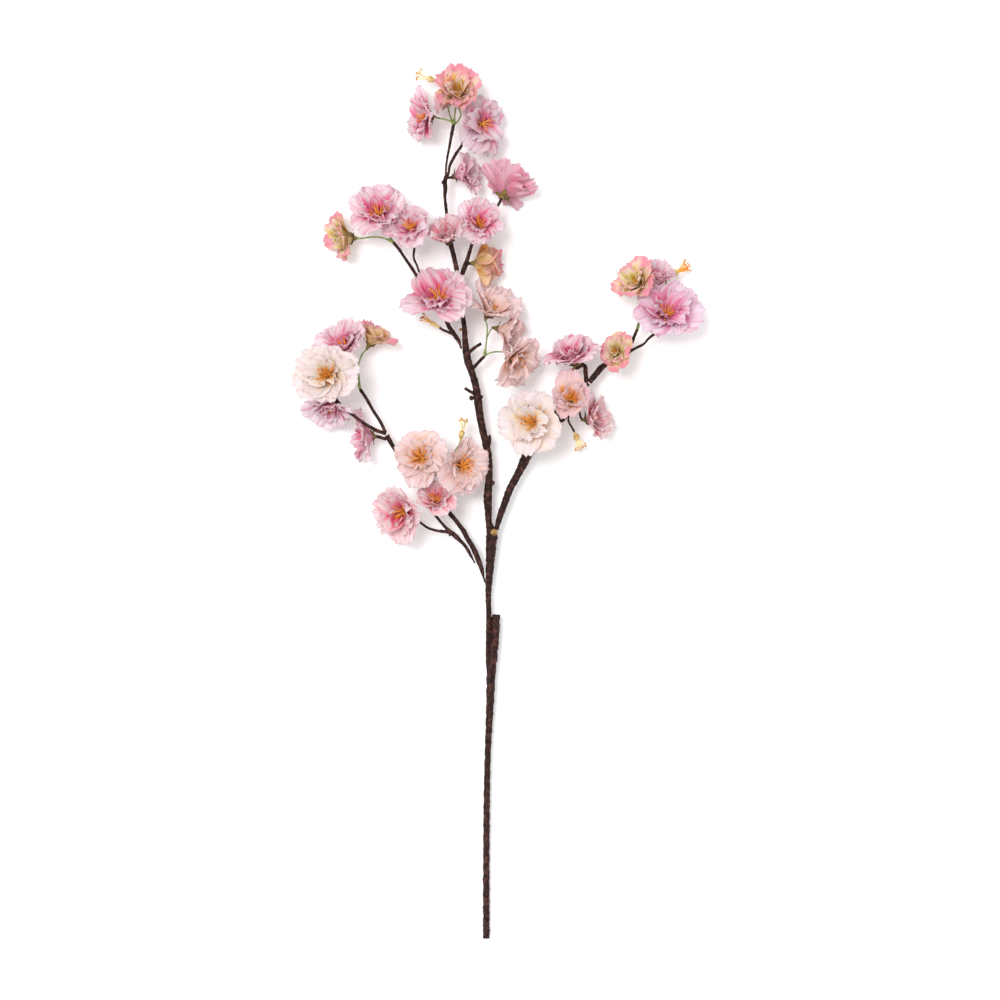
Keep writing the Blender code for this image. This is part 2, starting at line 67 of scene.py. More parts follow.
twigs = {
    "lower_stem": [
        {"points": [(0, 0, 3.3, 3.2), (0, 66, 5.5, 3.1), (0.5, 134, 8, 3.1), (1.5, 180.5, 9.6, 3),
            (2.8, 209.5, 10.6, 3.4), (3.9, 233, 11.4, 3.9), (4.6, 254, 12.1, 4.3),
            (5.4, 264, 12.4, 4.5), (6.7, 275, 12.8, 4.3), (8.6, 293, 13.4, 4), (9.5, 314, 14, 4)]},
    ],
    "main_stem": [
        {"points": [(2.2, 254, 12.4, 1.5), (1.5, 270, 12.8, 2), (1.5, 284, 13.2, 2),
            (2, 299, 13.6, 2.3), (2.5, 314.5, 14, 2.6), (2, 331, 14.5, 2.8), (2.5, 344.5, 15, 3.3),
            (3.5, 360, 15.5, 4), (4.5, 375.5, 16, 4.8), (5, 386, 16.4, 5.4), (5.5, 392, 16.5, 5.4),
            (4, 397, 16.7, 4.1), (2.5, 403.5, 16.8, 3.2), (2, 415, 17.1, 3.6), (1.5, 428, 17.5, 4.1),
            (2.5, 442.5, 18, 3.6), (3, 456, 18.3, 3.2), (2, 468.5, 18.6, 3.4), (-0.5, 480, 19, 3.4),
            (-4, 495.5, 19.4, 3.5), (-6.5, 509, 19.8, 3.7), (-8, 521, 20, 4), (-10, 534.5, 20.3, 3.5),
            (-13.5, 547, 20.6, 3.3), (-17.5, 558.5, 20.9, 3.7), (-19.5, 569.5, 21, 3.5),
            (-20.5, 580, 21.2, 2.8), (-21, 590, 21.4, 2.4), (-22.5, 602.5, 21.6, 2.2),
            (-24, 616, 21.8, 2.2), (-25.5, 627.5, 22, 2.2), (-26, 637, 22.2, 2.3)]},
        {"points": [(-17.5, 566.5, 21, 1.7), (-12, 571.5, 22.5, 1.6), (-5, 576, 24.5, 1.5)]},
        {"points": [(-10, 526.5, 20.2, 1.6), (-16, 530, 21.6, 1.5), (-20.5, 533, 23, 1.6)]},
        {"points": [(1.5, 474.5, 18.8, 1.6), (3.5, 482, 20.5, 1.5), (3, 487.5, 21.5, 1.4)]},
        # the web of plastic between the stem and the sleeve beside it
        {"points": [(2, 262, 12.2, 1.3), (3, 276, 12.5, 1.7), (4.3, 290, 12.7, 1.6),
            (4.7, 302, 12.8, 1.3), (5, 312, 12.9, 0.8)]},
    ],
    "right_branch": [
        {"points": [(10.5, 399, 17.2, 2.4), (12, 405, 17.3, 2.9), (15, 414, 17.6, 3.2),
            (19, 425, 18, 3.4), (22.5, 434.5, 18.3, 3.6), (27.5, 444, 18.6, 3.7),
            (32.5, 453.5, 19, 3.9), (37, 463, 19.2, 4.7), (42, 472.5, 19.4, 4.8), (51, 486, 19.6, 4.3),
            (63.5, 502.5, 19.8, 3.5), (77.5, 519, 20, 2.9), (89, 530.5, 20.3, 2.7),
            (98.5, 538, 20.5, 2.8)]},
    ],
    "right_outer_branch": [
        {"endsAt": "far_right_blossom_2", "points": [(101.5, 541, 20.8, 2.6), (106, 546.5, 21, 3),
            (112, 553.5, 21.2, 2.9), (121, 559, 21.2, 2.3), (133.5, 565.5, 21.2, 1.8),
            (146, 572.5, 21.5, 1.3), (152, 575.5, 21.8, 1.2), (157, 581, 22, 1.2),
            (162.5, 585.5, 22.5, 1.4)]},
        {"endsAt": "far_right_blossom_1", "points": [(121, 559, 21.2, 1.6)]},
    ],
    "right_upper_twig": [
        {"endsAt": "right_blossom_4", "points": [(96.5, 542, 20.8, 2.1), (96, 548, 21, 2.2),
            (95.5, 554, 21, 2)]},
    ],
    "right_inner_twig": [
        {"endsAt": "right_blossom_1", "points": [(79, 512.5, 20.5, 1.4), (77, 505.5, 22.5, 1.5),
            (72.5, 501, 25, 1.5), (69, 505.5, 27, 1.6), (65.5, 510.5, 28.5, 1.5)]},
    ],
    "right_outer_stalks": [
        {"endsAt": "right_blossom_2", "points": [(90, 523, 20.4, 1.5), (88, 517, 20.4, 1.4),
            (83, 513, 21, 1.2)]},
        {"endsAt": "right_blossom_3", "points": [(88, 517, 20.4, 1.2), (90, 510.5, 20, 1.1)]},
        {"endsAt": "right_tuft", "points": [(83, 513, 21, 1.1), (80, 506.5, 20, 1)]},
    ],
    "far_right_twig": [
        {"endsAt": "far_right_blossom_3", "greenFrom": 2, "points": [(140, 574, 21.6, 1.7),
            (143, 583, 22.5, 1.6), (146, 590, 22.5, 1.5), (149, 603.5, 22, 1),
            (149.5, 614, 21.6, 0.9)]},
        {"endsAt": "far_right_blossom_4", "greenFrom": 0, "points": [(149, 603.5, 22, 0.9),
            (156, 616, 21, 0.8)]},
        {"endsAt": "far_right_tuft", "greenFrom": 0, "points": [(149, 603.5, 22, 0.9),
            (160.5, 615, 19, 0.8), (171.5, 627.5, 17.5, 0.8)]},
    ],
    "left_branch": [
        {"points": [(-2, 348, 15.3, 0.9), (-4, 356, 15.6, 1.9), (-6.5, 364, 16, 2.5),
            (-8.5, 369, 16.2, 2.6), (-12.5, 378.5, 16.6, 2.6), (-17.5, 386.5, 17, 2.3),
            (-21.5, 394, 17.3, 2.4), (-27, 402, 17.7, 2.1), (-34, 410.5, 18, 2.2),
            (-44, 422.5, 18.4, 2.2), (-53.5, 433, 18.7, 1.9), (-65, 443.5, 19, 1.7),
            (-75.5, 452.5, 19.4, 1.6), (-81.5, 461, 19.8, 1.6), (-86.5, 471.5, 20.2, 2),
            (-91.5, 479, 20.5, 2.1), (-96, 487.5, 20.8, 2.4)]},
    ],
    "left_fork_twig": [
        {"endsAt": "lower_left_blossom_4", "points": [(-12.5, 366.5, 16.2, 0.8), (-15, 371, 16.4, 1.4),
            (-17.5, 376, 16.6, 1.6), (-21, 381, 16.9, 1.6), (-25, 385.5, 17.2, 1.8),
            (-30, 390, 17.5, 2.5), (-34.5, 394, 17.8, 2.1), (-39, 398, 18, 1.6), (-45, 405, 18.3, 1.4),
            (-50, 411.5, 18.6, 1.3)]},
        {"endsAt": "lower_left_blossom_3", "points": [(-34.5, 394, 17.8, 1.9), (-42, 394.5, 18, 1.6),
            (-49, 395.5, 18.2, 1.3), (-56.5, 398, 18.4, 1.2), (-63.5, 403, 18.6, 1.1),
            (-69, 407.5, 18.8, 1.1)]},
    ],
    "left_inner_twig": [
        {"endsAt": "left_blossom_3", "greenFrom": 4, "points": [(-98.5, 492.5, 21, 1.6),
            (-102, 500, 21, 1.6), (-108.5, 510, 21, 1.5), (-116.5, 524, 21, 1.6),
            (-122, 532, 20.8, 1.6), (-124.5, 543, 20, 0.9), (-129.5, 555, 20, 0.8)]},
        {"endsAt": "left_blossom_4", "greenFrom": 0, "points": [(-122, 532, 20.8, 1.2),
            (-123, 544, 19.5, 0.8), (-123.5, 555, 19, 0.8), (-121, 563.5, 19, 0.8)]},
    ],
    "left_outer_twig": [
        {"endsAt": "left_blossom_1", "points": [(-100, 490, 22.5, 1.8), (-105.5, 492, 27, 1.8),
            (-112.5, 495.5, 32, 1.7), (-122.5, 502, 34, 1.6), (-132, 510, 32, 1.6),
            (-140, 516, 29, 1.6), (-145, 522.5, 27, 1.3)]},
        {"endsAt": "left_blossom_2", "points": [(-140, 516, 29, 1.4)]},
    ],
    "left_side_stalk": [
        {"endsAt": "left_blossom_5", "points": [(-99.5, 484.5, 20.4, 1.6)]},
    ],
    "lower_left_stalks": [
        {"endsAt": "lower_left_blossom_1", "greenFrom": 0, "points": [(-54.5, 437, 20.8, 1.3),
            (-53.5, 442.5, 20.5, 1.3), (-52.5, 446.5, 20.2, 1.2), (-55.5, 453, 19.6, 0.9),
            (-59.5, 458, 19.5, 0.9)]},
        {"endsAt": "lower_left_blossom_2", "greenFrom": 0, "points": [(-52.5, 446.5, 20.2, 1),
            (-47, 450, 18.8, 0.8), (-39, 453.5, 18.2, 0.8)]},
        {"endsAt": "lower_left_tuft", "greenFrom": 0, "points": [(-52.5, 446.5, 20.2, 1),
            (-50, 451.5, 19, 0.8), (-44.5, 457, 18, 0.8), (-37, 462.5, 18.5, 1.3),
            (-33.5, 466.5, 19.5, 1.2), (-29, 474, 21.5, 0.8)]},
    ],
    "upper_left_branch": [
        {"points": [(-25, 574, 21.3, 1), (-26.5, 578.5, 21.4, 1.9), (-30.5, 584.5, 21.6, 2.1),
            (-35, 591, 21.8, 2.2), (-39, 599, 22, 1.9), (-43.5, 607, 22, 1.8), (-49, 616, 22, 1.7),
            (-56.5, 628, 22, 1.7), (-63.5, 638, 22, 1.8)]},
        {"endsAt": "upper_left_tuft", "points": [(-27.5, 581, 21.4, 1.5), (-32.5, 585, 21.2, 1.3),
            (-37.5, 587.5, 21, 1.3), (-42, 589.5, 21, 1.2)]},
        {"endsAt": "upper_left_blossom_5", "points": [(-45, 609.5, 22, 1.4)]},
    ],
    "upper_left_twig": [
        {"endsAt": "upper_left_blossom_2", "greenFrom": 5, "points": [(-67, 641, 22, 1.6),
            (-70, 646, 22, 1.6), (-75, 653.5, 22, 1.5), (-80.5, 661.5, 21.8, 1.4),
            (-84, 667, 21.6, 1.5), (-90, 674, 21, 1.5), (-96, 677, 20, 0.9), (-103.5, 679, 19, 0.8),
            (-113.5, 679, 18.8, 0.8), (-119.5, 678, 19.4, 0.9)]},
        {"endsAt": "upper_left_blossom_1", "greenFrom": 0, "points": [(-90, 674, 21, 1.2),
            (-93.5, 680, 20.5, 0.9), (-97.5, 686, 21, 0.8)]},
    ],
    "upper_left_short_twig": [
        {"endsAt": "upper_left_blossom_3", "points": [(-64.5, 644.5, 22.6, 1.1), (-67, 651.5, 22.8, 1),
            (-70, 659, 22.8, 1.1), (-69.5, 667.5, 22.6, 1.2), (-68, 674, 22.8, 1.2)]},
    ],
    "crown_left_twig": [
        {"endsAt": "top_blossom_4", "points": [(-28.5, 641, 22.4, 1.6), (-29, 649.5, 22.2, 2.3),
            (-31, 659, 21, 2.3), (-33, 667, 19.5, 2.3), (-35, 680, 18, 1.7), (-37.5, 695.5, 18.5, 1.6),
            (-39, 708, 20.5, 1.5), (-40, 719.5, 22, 1.6), (-39.5, 725.5, 22.6, 2.1),
            (-40, 731.5, 23, 2), (-39, 736.5, 23.2, 2.1), (-36.5, 741, 23.4, 1.4),
            (-35.5, 747, 23.5, 1.3), (-32, 754.5, 23.6, 1.5), (-28.5, 760.5, 23.6, 1.4),
            (-24.5, 766, 23.2, 1.4), (-21, 775, 22.4, 1.2)]},
        {"endsAt": "upper_left_blossom_4", "points": [(-31.5, 661.5, 20.6, 1.8)]},
        {"endsAt": "top_blossom_5", "points": [(-39, 736, 23.2, 1.5), (-35.5, 736.5, 23.2, 1.3)]},
    ],
    "crown_top_twig": [
        {"endsAt": "top_blossom_1", "greenFrom": 5, "points": [(-39, 742.5, 23, 1), (-38.5, 750, 23, 1),
            (-36.5, 761.5, 23, 1.2), (-34.5, 772, 23, 1.4), (-33, 780.5, 23, 1.6),
            (-31.5, 787.5, 23, 1.6), (-30.5, 796.5, 22.6, 0.8)]},
        {"endsAt": "top_blossom_2", "greenFrom": 0, "points": [(-31.5, 787.5, 23, 1.2),
            (-27.5, 791, 22.2, 0.8), (-24.5, 797.5, 21.6, 0.8), (-26, 802.5, 21.6, 0.8)]},
        {"endsAt": "top_blossom_3", "greenFrom": 0, "points": [(-31.5, 787.5, 23, 1.2),
            (-34, 790.5, 22.6, 0.9), (-39, 792.5, 22.4, 0.9), (-46.5, 794, 22.4, 0.9)]},
        {"endsAt": "top_tuft", "greenFrom": 0, "points": [(-31.5, 787.5, 23, 1.2),
            (-35, 796.5, 18.5, 0.8), (-38.5, 811, 16, 0.8), (-42, 821.5, 16.5, 0.8)]},
    ],
    "crown_right_twig": [
        {"endsAt": "upper_right_blossom_1", "points": [(-24, 641, 22.4, 1.8), (-22, 646.5, 22.6, 2.5),
            (-19, 655, 22.8, 2.2), (-16, 665, 23.2, 1.7), (-13, 674, 23.6, 1.6), (-9, 681.5, 23.8, 1.5),
            (-1.5, 694, 23.6, 1.3), (5.5, 702.5, 26, 1.3), (11.5, 709.5, 32, 1.4)]},
        {"endsAt": "upper_right_blossom_2", "points": [(-13.5, 672.5, 23.5, 1.2)]},
        {"endsAt": "upper_right_blossom_3", "points": [(-20, 652.5, 22.7, 1.6)]},
    ],
    "middle_twig": [
        {"endsAt": "middle_blossom_1", "greenFrom": 3, "points": [(-11, 554, 22, 1.7),
            (-7, 558.5, 22.6, 1.5), (-4.5, 561, 23, 1.6), (-1.5, 564, 23.4, 1.4), (-0.5, 572, 24, 0.8),
            (0.5, 581.5, 24.4, 0.8), (1, 591.5, 24.4, 0.7)]},
        {"endsAt": "middle_blossom_2", "greenFrom": 0, "points": [(0.5, 581.5, 24.4, 0.7),
            (3, 587, 24, 0.7)]},
        {"endsAt": "middle_blossom_3", "greenFrom": 0, "points": [(-1.5, 564, 23.4, 1),
            (1.5, 566, 24, 0.8), (8, 568, 24.4, 0.8), (14.5, 568, 24.6, 0.8)]},
    ],
}

# Cut stubs and buds that stand on the stems: where, radius, the way they point and their finish.
buds = {
    "main_stem": [
        {"at": (7.2, 393.5, 19.5), "radius": 3.9, "toward": (0.9, 0.1, 0.4), "finish": "bud"},
        {"at": (5.9, 441.5, 20), "radius": 2.6, "toward": (0.9, 0.2, 0.5), "finish": "bark"},
        {"at": (-24.6, 589.5, 22.5), "radius": 1.7, "toward": (-1, 0.1, 0.5), "finish": "bud"},
        {"at": (-14.2, 523.4, 21.2), "radius": 2.5, "toward": (-1, -0.3, 0.5), "finish": "bark"},
        {"at": (-5.2, 524.6, 22), "radius": 2.2, "toward": (1, 0.4, 0.5), "finish": "bark"},
        {"at": (-15.5, 553.5, 23), "radius": 1.5, "toward": (1, 0.2, 0.8), "finish": "bark"},
    ],
    "crown_left_twig": [
        {"at": (-38.6, 737.2, 24.2), "radius": 2.3, "toward": (0.2, 1, 0.3), "finish": "bark"},
        {"at": (-41.2, 731.6, 24), "radius": 2.2, "toward": (-0.4, 0.9, 0.4), "finish": "bark"},
        {"at": (-39.2, 726.8, 23.6), "radius": 1.9, "toward": (0.5, 0.9, 0.2), "finish": "bark"},
    ],
    "right_upper_twig": [
        {"at": (84.5, 550.5, 20.5), "radius": 2.3, "toward": (-1, 0.1, 0.2), "finish": "bud"},
    ],
    "left_fork_twig": [
        {"at": (-31.5, 392.5, 19.6), "radius": 1.8, "toward": (-0.3, 0.8, 0.6), "finish": "bark"},
        {"at": (-35, 391.5, 19), "radius": 1.6, "toward": (-0.5, -0.8, 0.4), "finish": "bark"},
    ],
}

# calyx is where the petals meet, heading the way a blossom faces in plan (0 is +x, 90 is +y), lift
# how far it looks up, petal the length of its outer petals and cup how far they close from flat.
# petals sets its outer petals one by one: the way each points in plan, then its length, its width
# and how much further it closes. trim makes a crowded blossom smaller, flat presses it, and stamens
# is their number where it isn't the usual one.
blossoms = {
    "top_blossom_1": dict(calyx=(-28.5, 812, 27), heading=86, lift=52, petal=34, cup=46, look="gold",
        petals=[(92, 1, 0.9, 0), (52, 0.95, 0.9, 0), (135, 0.95, 0.9, 0), (185, 0.8, 1, -10),
        (350, 0.8, 1, -10)]),
    "top_blossom_2": dict(calyx=(-34, 809, 24), heading=176, lift=20, petal=21, cup=42, look="peach",
        trim=0.78),
    "top_blossom_3": dict(calyx=(-53.5, 795.5, 19.5), heading=184, lift=26, petal=28, cup=28,
        look="rose"),
    "top_blossom_4": dict(calyx=(-6, 788, 24), heading=10, lift=60, petal=28, cup=14, look="mauve",
        stamens=9, petals=[(245, 1.1, 1.35, -4), (292, 1.15, 0.8, -4), (150, 0.95, 1, 6),
        (100, 1, 1.1, 4), (45, 0.95, 1, 6)]),
    "top_blossom_5": dict(calyx=(-30.5, 737.5, 20), heading=13, lift=24, petal=26, cup=40, look="rose"),
    "upper_right_blossom_1": dict(calyx=(16, 718, 27), heading=58, lift=-34, petal=33, cup=30,
        look="crimson", petals=[(112, 1.1, 1.2, 0), (72, 1.15, 1.2, 0), (25, 1.05, 1, 0),
        (328, 1.1, 0.6, 0), (302, 1, 0.5, 0), (165, 0.8, 0.6, 0)]),
    "upper_right_blossom_2": dict(calyx=(-7, 687.5, 39), heading=80, lift=59, petal=27, cup=25,
        look="rose", petals=[(115, 1.05, 1.2, 0), (72, 1.05, 1.2, 0), (2, 1, 0.6, 0),
        (218, 0.9, 0.8, -6), (278, 0.95, 0.8, -6)]),
    "upper_right_blossom_3": dict(calyx=(-12, 654, 17), heading=4, lift=8, petal=26, cup=62,
        look="gold"),
    "upper_left_blossom_1": dict(calyx=(-103, 697.5, 30), heading=104, lift=56, petal=33, cup=28,
        look="rose", trim=0.95, petals=[(95, 1.05, 1.3, 0), (140, 1.05, 1.1, 0), (50, 1, 1.1, 0),
        (208, 1, 1.2, -6), (340, 0.75, 1, 6)]),
    "upper_left_blossom_2": dict(calyx=(-128.5, 678, 17.5), heading=182, lift=24, petal=29, cup=34,
        look="lime"),
    "upper_left_blossom_3": dict(calyx=(-70.5, 685, 32), heading=120, lift=56, petal=30, cup=26,
        look="rose", trim=0.86, petals=[(172, 1.2, 1.1, 0), (262, 1, 1.1, -8), (15, 0.85, 1, 4),
        (65, 0.9, 1, 6), (115, 0.95, 1, 6)]),
    "upper_left_blossom_4": dict(calyx=(-36, 674, 30), heading=108, lift=46, petal=27, cup=46,
        look="coral"),
    "upper_left_blossom_5": dict(calyx=(-45, 615, 32), heading=100, lift=50, petal=37, cup=22,
        look="rose", petals=[(190, 1.15, 0.9, 0), (350, 1, 1.25, -4), (120, 0.95, 1.1, 6),
        (62, 0.92, 1.1, 6), (235, 0.6, 0.9, 6)]),
    "middle_blossom_1": dict(calyx=(1, 602.5, 26), heading=58, lift=30, petal=33, cup=34, look="blush",
        petals=[(95, 1.1, 1.1, 0), (55, 1.1, 1.1, 0), (20, 1.1, 1, 0), (152, 0.9, 0.6, -10),
        (310, 0.6, 0.8, 8)]),
    "middle_blossom_2": dict(calyx=(10.5, 590.5, 25), heading=-14, lift=12, petal=31, cup=46,
        look="blush", trim=0.84),
    "middle_blossom_3": dict(calyx=(24, 564, 34), heading=-37, lift=42, petal=33, cup=32, look="blush",
        trim=0.9, petals=[(42, 1.05, 1.25, 0), (250, 1.15, 0.9, -4), (285, 1, 0.9, 0),
        (332, 0.95, 1.1, 0), (130, 0.6, 0.9, 8)]),
    "left_blossom_1": dict(calyx=(-151, 544.5, 44), heading=145, lift=73, petal=35, cup=26,
        look="cream", petals=[(2, 1.05, 1.3, -2), (200, 1.05, 1.2, -2), (145, 1, 1.1, 2),
        (90, 0.9, 1.1, 4), (262, 0.9, 1, 2)]),
    "left_blossom_2": dict(calyx=(-150.5, 520, 20), heading=-97, lift=36, petal=28, cup=36,
        look="white"),
    "left_blossom_3": dict(calyx=(-132.5, 569, 26), heading=124, lift=42, petal=31, cup=36, look="rose",
        petals=[(162, 1.15, 1.1, 0), (118, 1, 1.1, 2), (75, 1, 1.1, 2), (35, 0.85, 1, 2),
        (320, 0.75, 1, 6)]),
    "left_blossom_4": dict(calyx=(-113.5, 574.5, 19), heading=61, lift=15, petal=26, cup=43,
        look="gold", petals=[(8, 1.1, 0.9, -6), (92, 0.95, 1.1, 0), (55, 0.95, 1.1, 0),
        (130, 0.8, 0.9, 0), (330, 0.5, 0.8, 6)]),
    "left_blossom_5": dict(calyx=(-109, 486, 18), heading=184, lift=10, petal=28, cup=26, flat=0.5,
        look="rose"),
    "lower_left_blossom_1": dict(calyx=(-62.5, 465, 32), heading=108, lift=78, petal=32, cup=20,
        look="blush", trim=0.91, petals=[(140, 0.95, 1.3, 4), (45, 1, 1.3, 4), (262, 1.1, 1.1, -6),
        (215, 0.9, 0.8, 0), (345, 0.95, 0.9, 0)]),
    "lower_left_blossom_2": dict(calyx=(-26.5, 458, 29), heading=-12, lift=62, petal=33, cup=24,
        look="blush", trim=0.88, petals=[(5, 1, 1.3, 0), (235, 1.05, 1.2, -4), (285, 1, 1, -4),
        (72, 1.1, 0.85, 4), (170, 0.7, 0.9, 8)]),
    "lower_left_blossom_3": dict(calyx=(-78, 415, 31), heading=200, lift=60, petal=31, cup=26,
        look="coral", petals=[(265, 1.1, 1.1, -4), (172, 1, 1.1, 2), (122, 0.95, 1, 6),
        (218, 1, 0.9, 0), (345, 0.85, 1, 6)]),
    "lower_left_blossom_4": dict(calyx=(-49, 422, 31), heading=90, lift=58, petal=24, cup=32,
        look="coral", petals=[(335, 1.05, 1.3, -4), (60, 0.9, 1, 4), (110, 0.95, 1, 6),
        (165, 0.9, 1, 4), (250, 0.6, 0.9, 4)]),
    "right_blossom_1": dict(calyx=(46, 499, 42), heading=174, lift=73, petal=34, cup=25, look="cream",
        petals=[(178, 1.05, 1.1, 0), (252, 1.05, 0.95, 0), (322, 1, 1.3, -4), (68, 1.05, 1, 2),
        (118, 1, 1.1, 2)]),
    "right_blossom_2": dict(calyx=(82, 520, 34), heading=100, lift=66, petal=27, cup=32, look="peach",
        petals=[(95, 1.15, 1.1, 0), (255, 1, 1, 0), (25, 0.85, 1.1, 4), (165, 0.8, 1.1, 4),
        (315, 0.8, 0.9, 6)]),
    "right_blossom_3": dict(calyx=(96.5, 502.5, 22), heading=6, lift=28, petal=25, cup=36,
        look="coral"),
    "right_blossom_4": dict(calyx=(85, 556, 31), heading=102, lift=30, petal=31, cup=36, look="rose",
        petals=[(168, 1.1, 1.1, -6), (8, 1.1, 1.1, -6), (115, 0.95, 1, 4), (68, 0.95, 1, 4),
        (270, 0.6, 1.3, 0)]),
    "far_right_blossom_1": dict(calyx=(128.5, 565.5, 32), heading=150, lift=60, petal=23, cup=38,
        look="lime"),
    "far_right_blossom_2": dict(calyx=(173, 600.5, 31), heading=79, lift=57, petal=36, cup=24,
        look="lilac", petals=[(195, 1, 1.2, -2), (5, 1.05, 1.2, -2), (285, 0.85, 1.2, 0),
        (52, 1.05, 1.1, 2), (128, 0.95, 1.1, 2)]),
    "far_right_blossom_3": dict(calyx=(148.5, 629, 30), heading=131, lift=42, petal=27, cup=34,
        look="lime"),
    "far_right_blossom_4": dict(calyx=(164.5, 631.5, 17), heading=82, lift=26, petal=25, cup=46,
        look="rose"),
}

# A tuft of stamens on its cup: foot and tip of the tuft, how wide it spreads, and its threads.
tufts = {
    "top_tuft": {"foot": (-46.5, 829, 19), "tip": (-66.5, 836.5, 22), "spread": 6.5, "count": 11,
        "thread": "cream"},
    "upper_left_tuft": {"foot": (-45, 591.5, 20.6), "tip": (-62.5, 602, 20), "spread": 4.0, "count": 8,
        "thread": "rust"},
    "lower_left_tuft": {"foot": (-25, 481.5, 24), "tip": (-21.5, 502.5, 28), "spread": 6.0, "count": 10,
        "thread": "cream"},
    "right_tuft": {"foot": (85, 491, 19), "tip": (91.5, 475.5, 15), "spread": 7.0, "count": 16,
        "thread": "cream"},
    "far_right_tuft": {"foot": (176.5, 640.5, 17.5), "tip": (194.5, 652, 17), "spread": 7.0,
        "count": 14, "thread": "amber"},
}

# Printed petal colours from the heart out to the rim, the deeper pink in the pleat grooves (partly dye
# streaks, partly painted shade), and the print seen from behind. dyeStops says how far out along a petal each
# colour sits.
dyeStops = (0.04, 0.2, 0.38, 0.62, 0.98)
looks = {
    "rose": dict(heart="#B81E58", throat="#EC5590", pleatTintAndShade="#EE6A9A", body="#F591B7", pale="#F5E0E8",
        rim="#F8F1F4", back="#F1C6D5", slot="petal_pink"),
    "coral": dict(heart="#C62F58", throat="#F06C8C", pleatTintAndShade="#EE7590", body="#F698AE", pale="#F5E0E3",
        rim="#F8F0F1", back="#F2C8CE", slot="petal_pink"),
    "mauve": dict(heart="#B02C5E", throat="#E8719A", pleatTintAndShade="#E67CA2", body="#EE98B8", pale="#EEDCE3",
        rim="#F3ECEF", back="#EBD0DA", slot="petal_pink"),
    "crimson": dict(heart="#A01540", throat="#DC3F70", pleatTintAndShade="#D94A78", body="#EC7AA2", pale="#EFD0DB",
        rim="#F8F4F6", back="#F2B4C8", slot="petal_pink"),
    "lilac": dict(heart="#CC2A70", throat="#EC66A0", pleatTintAndShade="#EC74AC", body="#F4A4C8", pale="#F5E4EE",
        rim="#F7EEF4", back="#F0CCDF", slot="petal_pink"),
    "white": dict(heart="#D03072", throat="#F070A0", pleatTintAndShade="#F088B0", body="#F6ACC8", pale="#F6EEF2",
        rim="#F7F1F4", back="#F4DDE6", slot="petal_pale"),
    "blush": dict(heart="#DD8B30", throat="#F7C99A", pleatTintAndShade="#EFB2AC", body="#F9DCCA", pale="#F8E8E3",
        rim="#F8ECEE", back="#F6E0DC", slot="petal_pale", stops=(0.03, 0.14, 0.28, 0.5, 0.95)),
    "cream": dict(heart="#E2921C", throat="#FACE80", pleatTintAndShade="#F9E0CE", body="#FAEDCE", pale="#F9F4EF",
        rim="#F8F1F4", back="#F4E0DA", slot="petal_pale", stops=(0.03, 0.14, 0.27, 0.46, 0.95)),
    "peach": dict(heart="#E07A20", throat="#F3A852", pleatTintAndShade="#F0B0A8", body="#F8CFA8", pale="#F7E6E2",
        rim="#F6E2E9", back="#F4D6CC", slot="petal_pale", stops=(0.04, 0.2, 0.34, 0.5, 0.92)),
    "gold": dict(heart="#A8780A", throat="#E3AC1A", pleatTintAndShade="#F2B89C", body="#F6DA78", pale="#FBF3E9",
        rim="#F9B8CE", back="#F0E0A0", slot="petal_olive", stops=(0.04, 0.25, 0.42, 0.58, 0.91)),
    "lime": dict(heart="#8E8A18", throat="#D2BE34", pleatTintAndShade="#F4C2B4", body="#F0E288", pale="#FAF3E2",
        rim="#F9B4CA", back="#E8DA86", slot="petal_olive", stops=(0.04, 0.22, 0.4, 0.6, 0.93)),
}

# Each layer of a blossom is one die-cut star of cloth: length and width are shares of the petal,
# rise is how many degrees it closes over the layer below, and bend how much it uncurls to the rim.
layers = {
    "outer": {"petals": 5, "length": 1.02, "width": 0.48, "rise": 0, "bend": 44, "turn": 0,
        "ripple": 0.06, "frill": 0.034, "fray": 0.05, "notch": 0.06, "rows": 15, "columns": 33},
    "middle": {"petals": 5, "length": 0.84, "width": 0.37, "rise": 14, "bend": 34, "turn": 36,
        "ripple": 0.075, "frill": 0.03, "fray": 0.07, "notch": 0.11, "rows": 13, "columns": 29},
    "inner": {"petals": 5, "length": 0.62, "width": 0.22, "rise": 26, "bend": 14, "turn": 12,
        "ripple": 0.075, "frill": 0.03, "fray": 0.09, "notch": 0.14, "rows": 10, "columns": 19},
}

sepal = {"petals": 5, "length": 0.24, "width": 0.08, "rise": -14, "bend": 30, "turn": 36,
    "ripple": 0.01, "frill": 0, "fray": 0, "notch": 0, "rows": 8, "columns": 7}

# Each wave is its height, the power of v it grows by, its pitch over u and its drift over v.
cloth = {
    "thickness": 0.28, "jitterTurn": 15.0, "jitterRise": 13.0, "jitterLength": 0.2, "overlap": 0.10,
    "foot": 0.12, "footRadius": 1.3, "steepest": 84.0, "clear": 0.25, "sepalsBehind": 0.8,
    "widest": 0.62, "narrowed": 0.12, "rounded": 0.24, "notchWidth": 0.1,
    "teeth": ((1, 0, 9.5, 0), (0.6, 0, 17, 0), (0.4, 0, 31, 0)),
    "ripples": ((1.1, 1.6, 2.6, 0), (0.8, 2.2, 6.5, 1), (0.35, 2, 13, 1)),
    "frills": ((1, 0, 21, 2), (0.6, 0, 37, 0)),
}

calyxCup = {
    "reach": (-5.5, -4.2, -2.6, -1.2, 0.0, 0.7), "radius": (0.95, 1.25, 1.9, 2.35, 2.3, 1.5), "sides": 12,
}

budEgg = {"rings": 9, "sides": 14, "long": 2.2, "dents": 0.05}

# Cup of a tuft: places along it as shares of its length, radii there, and how much its spread adds.
tuftBase = {
    "reach": (-0.02, 0.1, 0.24, 0.4, 0.5), "radius": (0.9, 1.2, 1.1, 1.0, 0.0),
    "flare": (0.0, 0.0, 0.2, 0.36, 0.3), "sides": 12, "threadRadius": 0.5, "threadLength": 0.82,
}

